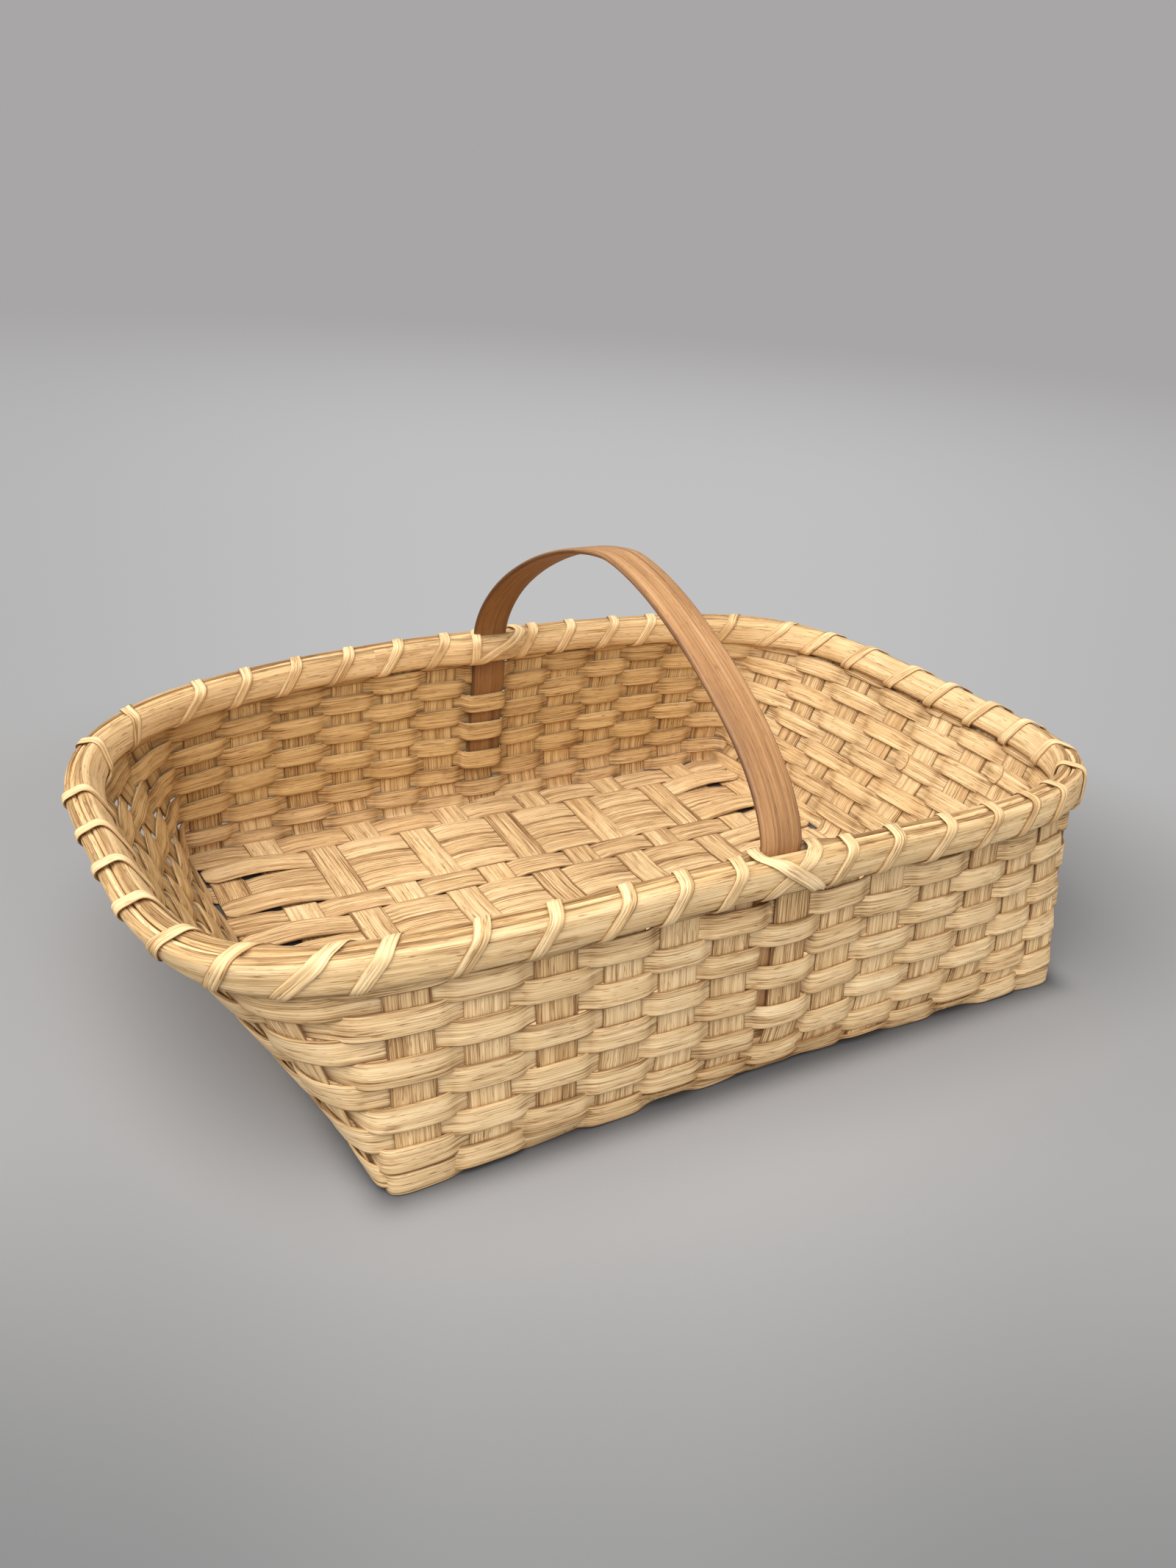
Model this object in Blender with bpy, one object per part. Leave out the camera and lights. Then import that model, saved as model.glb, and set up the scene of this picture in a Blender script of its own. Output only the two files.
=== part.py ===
"""Hand-woven splint berry basket with a fixed bent-wood handle.

The basket is a plain weave of flat reed. Thirteen crosswise stakes and nine
lengthwise spokes cross in the base and turn up into the walls, fillers close
the base between the spokes, and ten weaver rows run round the walls. The rim
is two half-round strips over a thin rim row, with a filler reed between their
tops, lashed on by one flat reed. The handle's two legs are tucked into the
middle of the long walls.

Metres, +Z up. The origin is on the ground under the middle of the base, and
the long side runs along X. The near long wall is at -Y.
"""

import math

import bmesh
import bpy
import numpy as np
from mathutils import Vector

MM = 0.001

# Clearance between pieces that touch.
GAP = 0.35 * MM

# Crosswise stakes: flat reed, each in one length from rim to rim.
STAKE_COUNT = 13
STAKE_WIDTH = 16.4 * MM
REED_THICKNESS = 1.0 * MM

# Lengthwise spokes, each in one length from end rim to end rim.
SPOKE_COUNT = 9
SPOKE_WIDTH = 15.2 * MM

# A filler's tip: each edge is folded in by this much, over this length.
TIP_FOLD = 2.8 * MM
TIP_LENGTH = 3.0 * MM

# Plan of the wall's middle surface at the ground, and how far the walls flare
# up to the rim's top.
BASE_HALF_LENGTH = 164.5 * MM
BASE_HALF_WIDTH = 134.6 * MM
END_FLARE = 47.0 * MM
LEFT_END_FLARE = 60.0 * MM
SIDE_FLARE = 3.4 * MM
WALL_HEIGHT = 103.5 * MM
END_DROP_SHARE = 0.084
BASE_SQUARENESS = 80.0
RIM_SQUARENESS = 4.0
FOLD = 0.8 * MM

# From the middle of the last stake or spoke to the corner of the base, and how
# much further apart they stand at the rim than at the base.
STAKE_CORNER_SPACE = 12.1 * MM
SPOKE_CORNER_SPACE = 9.8 * MM
STAKE_FAN = 0.6 * MM
SPOKE_FAN = -1.8 * MM

# Weaver rows: flat-oval reed in closed rings, row 1 next to the rim.
ROW_COUNT = 10
ROW_WIDTH = 7.3 * MM
ROW_PITCH = 8.0 * MM
ROW_THICKNESS = 1.8 * MM
LOWEST_ROW_EDGE = 4.4 * MM
FLOAT_OVERHANG = 0.6 * MM

# The thin rim row that the rim strips grip.
RIM_ROW_WIDTH = 7.0 * MM
RIM_ROW_THICKNESS = 1.0 * MM
RIM_ROW_EDGE = 88.0 * MM
STAKE_TOP = 98.0 * MM
CORNER_SLACK = 0.7 * MM

# Rim strips and the filler reed between their tops.
RIM_STRIP_HEIGHT = 17.2 * MM
RIM_STRIP_THICKNESS = 5.0 * MM
RIM_FILLER_WIDTH = 3.6 * MM
RIM_FILLER_HEIGHT = 4.8 * MM

# Lashing: one flat reed, wound once round the rim between every two stakes.
LASHING_WIDTH = 5.4 * MM
LASHING_THICKNESS = 0.8 * MM
LASHING_CLEARANCE = 0.6 * MM

# Handle: one bent hardwood strap, its legs tucked behind the weaver rows.
HANDLE_WIDTH = 19.0 * MM
HANDLE_THICKNESS = 2.8 * MM
HANDLE_TOP = 183.0 * MM
HANDLE_FULLNESS = 1.55
HANDLE_TAIL = 27.0 * MM

# A D-shaped rim strip: shares of its thickness and of its height.
STRIP_PROFILE_SHARES = ((0.0, 0.0), (0.6, 0.06), (1.0, 0.27), (1.0, 0.73), (0.6, 0.94), (0.0, 1.0))

# One turn of lashing: share of the way to the next space between stakes.
TURN_SHARES = (0.0, 0.06, 0.36, 0.44, 0.58, 0.66, 0.94, 1.0)
# The same for the turn that has to pass beside the handle's leg.
SIDESTEP_SHARES = (0.0, 0.0, 0.0, 0.0, 0.0, 0.06, 0.92, 1.0)

# How finely curves are followed.
RING_STEPS = 1440
ARCH_STEPS = 28
RIM_PARTS = 2
CORNER_RIM_PARTS = 4
TWIST_STEP = math.radians(2.5)
STRIP_SHADE_ANGLE = math.radians(50.0)

# Sizes that follow from the ones above.
HALF = 0.5
QUARTER = 0.25
RIM_HALF_LENGTH = BASE_HALF_LENGTH + END_FLARE
RIM_LEFT_LENGTH = BASE_HALF_LENGTH + LEFT_END_FLARE
RIM_HALF_WIDTH = BASE_HALF_WIDTH + SIDE_FLARE
STAKE_PITCH = (BASE_HALF_LENGTH - STAKE_CORNER_SPACE) / (HALF * (STAKE_COUNT - 1))
SPOKE_PITCH = (BASE_HALF_WIDTH - SPOKE_CORNER_SPACE) / (HALF * (SPOKE_COUNT - 1))
STAKE_RIM_PITCH = STAKE_PITCH + STAKE_FAN
SPOKE_RIM_PITCH = SPOKE_PITCH + SPOKE_FAN
STEP_GAP = REED_THICKNESS + 2 * GAP
FILLER_WIDTH = SPOKE_PITCH - SPOKE_WIDTH - 2 * STEP_GAP
TIP_WIDTH = FILLER_WIDTH - 2 * TIP_FOLD
LOW_LEVEL = HALF * REED_THICKNESS
MIDDLE_LEVEL = LOW_LEVEL + REED_THICKNESS + GAP
HIGH_LEVEL = MIDDLE_LEVEL + REED_THICKNESS + GAP
ROW_OFFSET = HALF * REED_THICKNESS + GAP + HALF * ROW_THICKNESS
RIM_ROW_OFFSET = HALF * REED_THICKNESS + GAP + HALF * RIM_ROW_THICKNESS
RIM_OFFSET = RIM_ROW_OFFSET + HALF * RIM_ROW_THICKNESS + GAP + CORNER_SLACK
RIM_BOTTOM = WALL_HEIGHT - RIM_STRIP_HEIGHT
TOP_ROW_EDGE = LOWEST_ROW_EDGE + ROW_WIDTH + (ROW_COUNT - 1) * ROW_PITCH
LEG_OFFSET = HALF * REED_THICKNESS + GAP + HALF * HANDLE_THICKNESS
HIGH_LEG_OFFSET = LEG_OFFSET + ROW_THICKNESS + GAP
FLOAT_OVER_LEG = LEG_OFFSET + HALF * HANDLE_THICKNESS + GAP + HALF * ROW_THICKNESS
RIM_BULGE = HIGH_LEG_OFFSET + HALF * HANDLE_THICKNESS + GAP - RIM_OFFSET

# Stations are numbered anticlockwise seen from above, from the near left stake.
SIDE_COUNTS = (STAKE_COUNT, SPOKE_COUNT, STAKE_COUNT, SPOKE_COUNT)
STATION_COUNT = sum(SIDE_COUNTS)
NEAR_HANDLE_STATION = STAKE_COUNT // 2
FAR_HANDLE_STATION = STATION_COUNT // 2 + NEAR_HANDLE_STATION
HANDLE_STATIONS = (NEAR_HANDLE_STATION, FAR_HANDLE_STATION)

STRAW = (0.76, 0.58, 0.33)
PALE_STRAW = (0.82, 0.68, 0.44)
OAK = (0.42, 0.21, 0.09)


class Ring:
    """A closed superellipse in plan, followed by its arc length.

    Its left end may reach further than its right one. The arc starts at the middle
    of the near long side and runs anticlockwise.
    """

    def __init__(self, half_length, left_length, half_width, squareness, stake_pitch, spoke_pitch):
        turn = np.linspace(-math.pi / 2, 3 * math.pi / 2, RING_STEPS + 1)
        across = np.abs(np.cos(turn)) / np.where(np.cos(turn) > 0, half_length, left_length)
        along = np.abs(np.sin(turn)) / half_width
        largest = np.maximum(across, along)
        sums = (across / largest) ** squareness + (along / largest) ** squareness
        radius = 1 / (largest * sums ** (1 / squareness))
        self.x = radius * np.cos(turn)
        self.y = radius * np.sin(turn)
        steps = np.hypot(np.diff(self.x), np.diff(self.y))
        self.arc = np.concatenate(([0.0], np.cumsum(steps)))
        self.length = self.arc[-1]
        self.station_arcs = self.arcs_of_stations(stake_pitch, spoke_pitch)

    def arcs_of_stations(self, stake_pitch, spoke_pitch):
        """Arc of every station, and of the first one again after a full turn."""
        arcs = []
        for side, count in enumerate(SIDE_COUNTS):
            pitch = (stake_pitch, spoke_pitch)[side % 2]
            middle = self.arc[side * RING_STEPS // len(SIDE_COUNTS)]
            arcs += [middle + (number - (count - 1) / 2) * pitch for number in range(count)]
        return np.array(arcs + [arcs[0] + self.length])

    def point(self, station, along):
        """Plan point at a station, moved along the ring by a distance."""
        whole_turns, rest = divmod(station, STATION_COUNT)
        arc = np.interp(rest, np.arange(STATION_COUNT + 1), self.station_arcs) + along
        arc = (arc + whole_turns * self.length) % self.length
        return float(np.interp(arc, self.arc, self.x)), float(np.interp(arc, self.arc, self.y))


class Wall:
    """The ruled surface that the stakes stand in, from the base ring to the rim ring."""

    def __init__(self):
        self.base = Ring(BASE_HALF_LENGTH, BASE_HALF_LENGTH, BASE_HALF_WIDTH, BASE_SQUARENESS, STAKE_PITCH, SPOKE_PITCH)
        self.rim = Ring(RIM_HALF_LENGTH, RIM_LEFT_LENGTH, RIM_HALF_WIDTH, RIM_SQUARENESS, STAKE_RIM_PITCH, SPOKE_RIM_PITCH)

    def on_surface(self, station, height, along=0):
        """Point on the middle surface at a height measured up the long walls."""
        share = height / WALL_HEIGHT
        low_x, low_y = self.base.point(station, along)
        top_x, top_y = self.rim.point(station, along)
        drop = END_DROP_SHARE * (top_x / RIM_HALF_LENGTH) ** 2
        x = low_x + share * (top_x - low_x)
        y = low_y + share * (top_y - low_y)
        return Vector((x, y, height * (1 - drop)))

    def place(self, station, along, height, offset):
        """Point beside a station, square to the wall there.

        It lies a distance along the ring's direction, and a distance outside
        the middle surface, or inside where negative.
        """
        here = self.on_surface(station, height)
        before = self.on_surface(station, height, -HALF * STAKE_WIDTH)
        after = self.on_surface(station, height, HALF * STAKE_WIDTH)
        forward = (after - before).normalized()
        upward = self.on_surface(station, height + STAKE_WIDTH) - here
        return here + along * forward + offset * forward.cross(upward).normalized()

    def twist(self, station):
        """Angle by which the wall turns between the base ring and the rim ring."""
        turned = []
        for ring in (self.base, self.rim):
            start = Vector(ring.point(station, -HALF * STAKE_WIDTH))
            end = Vector(ring.point(station, HALF * STAKE_WIDTH))
            turned.append((end - start).normalized())
        return math.acos(min(1, turned[0].dot(turned[1])))


WALL = Wall()


def clear_scene():
    for old in list(bpy.data.objects):
        bpy.data.objects.remove(old, do_unlink=True)


def add_object(name, mesh, colour, roughness):
    """Put a mesh into the scene under its own material."""
    material = bpy.data.materials.new(name)
    material.use_nodes = True
    shader = material.node_tree.nodes["Principled BSDF"]
    shader.inputs["Base Color"].default_value = (*colour, 1)
    shader.inputs["Roughness"].default_value = roughness
    shader.inputs["Metallic"].default_value = 0
    mesh.materials.append(material)
    made = bpy.data.objects.new(name, mesh)
    bpy.context.scene.collection.objects.link(made)
    return made


def add_ribbon(name, edges, thickness, colour, roughness=0.6, closed=False):
    """Make a flat strip from pairs of edge points and give it its thickness.

    A closed strip joins its last pair to its first.
    """
    mesh = bpy.data.meshes.new(name)
    shape = bmesh.new()
    pairs = [(shape.verts.new(left), shape.verts.new(right)) for left, right in edges]
    followers = pairs[1:] + pairs[:1] if closed else pairs[1:]
    for (left, right), (next_left, next_right) in zip(pairs, followers):
        shape.faces.new((left, right, next_right, next_left))
    shape.to_mesh(mesh)
    shape.free()
    made = add_object(name, mesh, colour, roughness)
    shell = made.modifiers.new("Thickness", "SOLIDIFY")
    shell.thickness = thickness
    shell.offset = 0
    shell.use_even_offset = True
    return made


def add_ring_bar(name, sections, colour, roughness=0.6):
    """Join closed cross-sections, one after another, into a closed ring."""
    mesh = bpy.data.meshes.new(name)
    shape = bmesh.new()
    loops = [[shape.verts.new(point) for point in section] for section in sections]
    for loop, after in zip(loops, loops[1:] + loops[:1]):
        corners = zip(loop, loop[1:] + loop[:1], after[1:] + after[:1], after)
        for corner in corners:
            shape.faces.new(corner)
    bmesh.ops.recalc_face_normals(shape, faces=shape.faces)
    shape.to_mesh(mesh)
    shape.free()
    mesh.shade_smooth()
    mesh.set_sharp_from_angle(angle=STRIP_SHADE_ANGLE)
    return add_object(name, mesh, colour, roughness)


def is_odd(number):
    return number % 2 == 1


def strips_across_base():
    """Middles of the lengthwise strips from near to far: spoke, filler, spoke and so on."""
    count = 2 * SPOKE_COUNT - 1
    return [(strip - (count - 1) / 2) * HALF * SPOKE_PITCH for strip in range(count)]


def stake_is_over(stake, strip):
    """Whether a crosswise stake lies over a lengthwise strip of the base.

    A spoke and the fillers beside every second spoke share their side, except
    at the two end stakes, which the fillers' tips cover.
    """
    if is_odd(strip):
        return is_odd(stake) and stake not in (1, STAKE_COUNT)
    spoke = strip // 2 + 1
    return is_odd(stake) != is_odd(spoke)


def stake_base_path(stake):
    """Points (y, z) of a stake under and over the strips of the base, near to far."""
    middles = strips_across_base()
    levels = [HIGH_LEVEL if stake_is_over(stake, strip) else LOW_LEVEL for strip in range(len(middles))]
    turn_in = BASE_HALF_WIDTH - FOLD
    path = [(-turn_in, levels[0])]
    reach = HALF * (SPOKE_WIDTH + STEP_GAP)
    for strip in range(len(middles) - 1):
        if levels[strip] == levels[strip + 1]:
            continue
        boundary = middles[strip + 1] - reach if is_odd(strip) else middles[strip] + reach
        path += [(boundary, levels[strip]), (boundary, levels[strip + 1])]
    return path + [(turn_in, levels[-1])]


def wall_edges(station, width, foot):
    """Edge pairs of a stake in the wall, from its foot up to its top under the rim."""
    count = max(1, math.ceil(WALL.twist(station) / TWIST_STEP))
    edges = []
    for step in range(count + 1):
        height = foot + (STAKE_TOP - foot) * step / count
        before = WALL.place(station, -HALF * width, height, 0)
        after = WALL.place(station, HALF * width, height, 0)
        edges.append((before, after))
    return edges


def add_stake(stake):
    """One crosswise stake: down the near wall, across the base, up the far wall."""
    middle = (stake - (STAKE_COUNT + 1) / 2) * STAKE_PITCH
    path = stake_base_path(stake)
    near_station = stake - 1
    far_station = FAR_HANDLE_STATION + NEAR_HANDLE_STATION - near_station
    near = wall_edges(near_station, STAKE_WIDTH, path[0][1] + FOLD)
    far = wall_edges(far_station, STAKE_WIDTH, path[-1][1] + FOLD)
    left = middle - HALF * STAKE_WIDTH
    right = middle + HALF * STAKE_WIDTH
    base = [(Vector((left, y, z)), Vector((right, y, z))) for y, z in path]
    down_near = list(reversed(near))
    up_far = [(after, before) for before, after in far]
    name = f"cross_stake_{stake:02d}"
    add_ribbon(name, down_near + base + up_far, REED_THICKNESS, STRAW)


def add_spoke(spoke):
    """One lengthwise spoke: down the left end wall, along the base, up the right end wall."""
    middle = (spoke - (SPOKE_COUNT + 1) / 2) * SPOKE_PITCH
    right_station = STAKE_COUNT + spoke - 1
    left_station = STATION_COUNT - spoke
    foot = (MIDDLE_LEVEL + FOLD) / (1 - END_DROP_SHARE)
    right_wall = wall_edges(right_station, SPOKE_WIDTH, foot)
    left_wall = wall_edges(left_station, SPOKE_WIDTH, foot)
    near = middle - HALF * SPOKE_WIDTH
    far = middle + HALF * SPOKE_WIDTH
    turn_in = BASE_HALF_LENGTH - FOLD
    base = [(Vector((x, near, MIDDLE_LEVEL)), Vector((x, far, MIDDLE_LEVEL))) for x in (-turn_in, turn_in)]
    down_left = [(after, before) for before, after in reversed(left_wall)]
    add_ribbon(f"base_spoke_{spoke}", down_left + base + right_wall, REED_THICKNESS, STRAW)


def add_filler(number):
    """One filler between two spokes, its tips over the two end stakes."""
    middle = strips_across_base()[2 * number - 1]
    reach = HALF * (STAKE_COUNT - 1) * STAKE_PITCH + HALF * STAKE_WIDTH + GAP
    stations = (
        (-reach, TIP_WIDTH),
        (-reach + TIP_LENGTH, FILLER_WIDTH),
        (reach - TIP_LENGTH, FILLER_WIDTH),
        (reach, TIP_WIDTH),
    )
    edges = []
    for x, width in stations:
        near = Vector((x, middle - HALF * width, MIDDLE_LEVEL))
        far = Vector((x, middle + HALF * width, MIDDLE_LEVEL))
        edges.append((near, far))
    add_ribbon(f"base_filler_{number}", edges, REED_THICKNESS, PALE_STRAW)


def row_is_inside(row, station):
    """Whether a weaver row passes inside the stake at a station.

    Row 1 passes inside the first, third and every other odd stake.
    """
    return is_odd(row) != is_odd(station)


def corner_stations():
    """The last station before each of the four corners."""
    return [int(last) - 1 for last in np.cumsum(SIDE_COUNTS)]


def weaver_sections(row, offset):
    """Places (station, along, offset) of a row: a flat float at each stake.

    Behind the rows that hold the handle's legs, the float stands off by the
    leg's thickness. A corner gets a place of its own between its two stakes.
    """
    sections = []
    corners = corner_stations()
    for station in range(STATION_COUNT):
        inside = row_is_inside(row, station)
        half_width = HALF * STAKE_WIDTH
        stand_off = -offset if inside else offset
        holds_leg = station in HANDLE_STATIONS and inside and row > 1 and row_bottom(row) > HANDLE_TAIL - ROW_WIDTH
        if holds_leg:
            half_width = HALF * HANDLE_WIDTH
            stand_off = -FLOAT_OVER_LEG
        reach = half_width + FLOAT_OVERHANG
        sections += [(station, -reach, stand_off), (station, reach, stand_off)]
        if station in corners:
            sections.append((station + HALF, 0, 0))
    return sections


def row_bottom(row):
    """Height of a row's lower edge."""
    return LOWEST_ROW_EDGE + (ROW_COUNT - row) * ROW_PITCH


def add_weaver(name, row, bottom, width, thickness, offset):
    """One ring of weaver reed."""
    edges = []
    for station, along, stand_off in weaver_sections(row, offset):
        low = WALL.place(station, along, bottom, stand_off)
        high = WALL.place(station, along, bottom + width, stand_off)
        edges.append((low, high))
    add_ribbon(name, edges, thickness, STRAW, closed=True)


def leg_nearness(station, along=0):
    """1 beside a handle leg, falling smoothly to 0 away from it."""
    place = WALL.place(station, along, WALL_HEIGHT, 0)
    flat = HALF * HANDLE_WIDTH + GAP
    run_out = flat + HANDLE_WIDTH
    share = (abs(place.x) - flat) / (run_out - flat)
    on_long_side = abs(place.y) > HALF * RIM_HALF_WIDTH
    if not on_long_side or share >= 1:
        return 0.0
    if share <= 0:
        return 1.0
    return HALF * (1 + math.cos(math.pi * share))


def ring_stations():
    """Stations at which the rim is followed, closest together at the corners."""
    stations = []
    for station in range(STATION_COUNT):
        at_corner = min(stations_apart(station, corner) for corner in corner_stations()) <= 1
        parts = CORNER_RIM_PARTS if at_corner else RIM_PARTS
        stations += [station + part / parts for part in range(parts)]
    return stations


def stations_apart(first, second):
    """Number of spaces between two stations, the shorter way round."""
    apart = abs(first - second) % STATION_COUNT
    return min(apart, STATION_COUNT - apart)


def add_rim_strips():
    """The outer and the inner half-round strip, the inner one bulging round the legs."""
    outer = []
    inner = []
    for station in ring_stations():
        outer_section = []
        inner_section = []
        for thickness_share, height_share in STRIP_PROFILE_SHARES:
            height = RIM_BOTTOM + height_share * RIM_STRIP_HEIGHT
            offset = RIM_OFFSET + thickness_share * RIM_STRIP_THICKNESS
            outer_section.append(WALL.place(station, 0, height, offset))
            inner_section.append(beside_rim(station, 0, height, -offset))
        outer.append(outer_section)
        inner.append(inner_section)
    add_ring_bar("rim_outer", outer, PALE_STRAW)
    add_ring_bar("rim_inner", inner, PALE_STRAW)


def add_rim_filler():
    """The reed that fills the space between the strips above the stakes."""
    bottom = STAKE_TOP + GAP
    edges = []
    for station in ring_stations():
        low = WALL.place(station, 0, bottom, 0)
        high = WALL.place(station, 0, bottom + RIM_FILLER_HEIGHT, 0)
        edges.append((low, high))
    add_ribbon("rim_filler", edges, RIM_FILLER_WIDTH, STRAW, closed=True)


def lashing_profile():
    """Offsets and heights of the corners of one turn, from below the outer strip."""
    skin = LASHING_CLEARANCE + HALF * LASHING_THICKNESS
    face = RIM_OFFSET + RIM_STRIP_THICKNESS + skin
    below = HALF * (TOP_ROW_EDGE + RIM_BOTTOM)
    above = WALL_HEIGHT + skin
    shoulder = RIM_OFFSET + HALF * RIM_STRIP_THICKNESS
    drop = face - shoulder
    low_corner = RIM_BOTTOM + HALF * RIM_STRIP_THICKNESS
    outer = [(shoulder, below), (face, low_corner), (face, above - drop), (shoulder, above)]
    return outer + [(-offset, height) for offset, height in reversed(outer)]


def lashing_places():
    """Places (station, height, offset) along the whole lashing."""
    places = []
    for turn in range(STATION_COUNT):
        start = turn + HALF
        beside_leg = turn + 1 in HANDLE_STATIONS
        shares = SIDESTEP_SHARES if beside_leg else TURN_SHARES
        for share, (offset, height) in zip(shares, lashing_profile()):
            places.append((start + share, height, offset))
    return places


def beside_rim(station, along, height, offset):
    """Point beside the rim, moved inwards with the bulge of the inner strip."""
    bulge = RIM_BULGE * leg_nearness(station, along) if offset < 0 else 0
    return WALL.place(station, along, height, offset - bulge)


def least_turn_gap(middles):
    """Least distance between two stretches of the lashing, less its width."""
    dense = []
    fine = 12
    for start, end in zip(middles, middles[1:]):
        dense += [start.lerp(end, step / fine) for step in range(fine)]
    points = np.array([tuple(point) for point in dense])
    run = np.concatenate(([0.0], np.cumsum(np.linalg.norm(np.diff(points, axis=0), axis=1))))
    apart = np.abs(run[:, None] - run[None, :]) > 4 * LASHING_WIDTH
    spans = np.linalg.norm(points[:, None, :] - points[None, :, :], axis=2)
    return float(spans[apart].min()) - LASHING_WIDTH


def add_lashing():
    """One flat reed in an open spiral round the whole rim."""
    edges = []
    middles = []
    for station, height, offset in lashing_places():
        before = beside_rim(station, -HALF * LASHING_WIDTH, height, offset)
        after = beside_rim(station, HALF * LASHING_WIDTH, height, offset)
        edges.append((before, after))
        middles.append(before.lerp(after, HALF))
    add_ribbon("rim_lashing", edges, LASHING_THICKNESS, PALE_STRAW)
    print(f"rim_lashing least gap to itself {least_turn_gap(middles) / MM:.2f} mm")


def leg_path():
    """Points (y, z) of the near leg from its tail up to the rim's top."""
    third_row_top = row_bottom(3) + ROW_WIDTH + GAP
    first_row_bottom = row_bottom(1) - GAP
    heights = (
        (HANDLE_TAIL, LEG_OFFSET),
        (third_row_top, LEG_OFFSET),
        (first_row_bottom, HIGH_LEG_OFFSET),
        (WALL_HEIGHT, HIGH_LEG_OFFSET),
    )
    points = [WALL.place(NEAR_HANDLE_STATION, 0, height, -offset) for height, offset in heights]
    return [(point.y, point.z) for point in points]


def arch_path(spring_y, spring_z):
    """Points (y, z) of the arch between the two legs, from near to far."""
    rise = HANDLE_TOP - HALF * HANDLE_THICKNESS - spring_z
    power = 2 / HANDLE_FULLNESS
    points = []
    for step in range(1, ARCH_STEPS):
        turn = math.pi * step / ARCH_STEPS
        reach = math.copysign(abs(math.cos(turn)) ** power, math.cos(turn))
        points.append((spring_y * reach, spring_z + rise * math.sin(turn) ** power))
    return points


def add_handle():
    """The bent strap from its tail in the near wall to its tail in the far wall."""
    near_leg = leg_path()
    far_leg = [(-y, z) for y, z in reversed(near_leg)]
    path = near_leg + arch_path(*near_leg[-1]) + far_leg
    left = -HALF * HANDLE_WIDTH
    right = HALF * HANDLE_WIDTH
    edges = [(Vector((left, y, z)), Vector((right, y, z))) for y, z in path]
    add_ribbon("handle", edges, HANDLE_THICKNESS, OAK, roughness=0.5)


def main():
    clear_scene()
    for stake in range(1, STAKE_COUNT + 1):
        add_stake(stake)
    for spoke in range(1, SPOKE_COUNT + 1):
        add_spoke(spoke)
    for number in range(1, 2 * (SPOKE_COUNT // 2) + 1):
        add_filler(number)
    for row in range(1, ROW_COUNT + 1):
        add_weaver(f"weaver_row_{row:02d}", row, row_bottom(row), ROW_WIDTH, ROW_THICKNESS, ROW_OFFSET)
    add_weaver("rim_row", 0, RIM_ROW_EDGE, RIM_ROW_WIDTH, RIM_ROW_THICKNESS, RIM_ROW_OFFSET)
    add_rim_strips()
    add_rim_filler()
    add_lashing()
    add_handle()


main()
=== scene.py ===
"""The finished look of a woven berry basket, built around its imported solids.

Every reed is one strip: a cross-section carried along a path. All the paths lie on
one surface, the basket's skin, or beside it by the distance that the weave asks for.
Metres, +Z up, the long side along X, the near long wall at -Y.
"""

import logging
import math
from dataclasses import dataclass, field
from enum import Enum, IntEnum
from functools import partial
from typing import Any, Callable, Sequence

import bpy
import numpy as np
from mathutils import Matrix, Vector

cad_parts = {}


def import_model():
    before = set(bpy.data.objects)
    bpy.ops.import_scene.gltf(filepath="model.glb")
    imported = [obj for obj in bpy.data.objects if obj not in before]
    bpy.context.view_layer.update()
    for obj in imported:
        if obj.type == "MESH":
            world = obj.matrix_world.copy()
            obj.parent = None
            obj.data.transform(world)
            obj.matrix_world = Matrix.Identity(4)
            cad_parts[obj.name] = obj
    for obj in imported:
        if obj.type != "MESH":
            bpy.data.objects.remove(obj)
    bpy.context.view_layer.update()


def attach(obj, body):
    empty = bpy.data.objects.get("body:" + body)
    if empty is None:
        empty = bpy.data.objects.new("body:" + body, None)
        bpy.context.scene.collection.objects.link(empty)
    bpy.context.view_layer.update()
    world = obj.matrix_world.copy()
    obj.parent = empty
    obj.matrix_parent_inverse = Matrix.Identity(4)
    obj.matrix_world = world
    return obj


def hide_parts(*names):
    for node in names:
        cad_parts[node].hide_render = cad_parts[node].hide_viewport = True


LOG = logging.getLogger("basket")
Array = np.ndarray
Colour = tuple[float, float, float]
Walls = tuple[Sequence[float], Sequence[float], Sequence[float], Sequence[float]]

MM = 0.001

STAKES = 13
SPOKES = 9
SIDE_COUNTS = (STAKES, SPOKES, STAKES, SPOKES)
STATIONS = sum(SIDE_COUNTS)
NEAR_HANDLE = STAKES // 2
FAR_HANDLE = STATIONS // 2 + NEAR_HANDLE
STAKE_PITCH = 25.4 * MM
SPOKE_PITCH = 31.2 * MM
STRIPS = 2 * SPOKES - 1
BASE_HALF_WIDTH = 139.0 * MM
LEG_BULGE = 3.6 * MM
SHARP_FROM = math.radians(60)
NOISE_MIDDLE = 0.5
GRAIN_ROOM = 9.0
HANDLE_X = -1 * MM


class Slot(Enum):
    """The record's material slots."""

    STAKE = "stake_reed"
    WEAVER = "weaver_reed"
    RIM = "rim_reed"
    LASHING = "lashing_reed"
    HANDLE = "handle_wood"


class Seed(IntEnum):
    """First numbers that the pieces' small faults are drawn from."""

    STAKE = 100
    SPOKE = 200
    FILLER = 300
    ROW = 400
    OUTER_RIM = 500
    INNER_RIM = 510
    RIM_FILLER = 520
    LASHING = 600
    HANDLE = 700


def unit(vectors: Array) -> Array:
    """Scale every vector of an array to length 1."""
    return vectors / np.maximum(np.linalg.norm(vectors, axis=-1, keepdims=True), 1e-12)


def ease(share: Array) -> Array:
    """Smooth a share by 3s^2 - 2s^3, held at 0 and 1 outside its range."""
    held = np.clip(share, 0, 1)
    return held * held * (3 - 2 * held)


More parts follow.
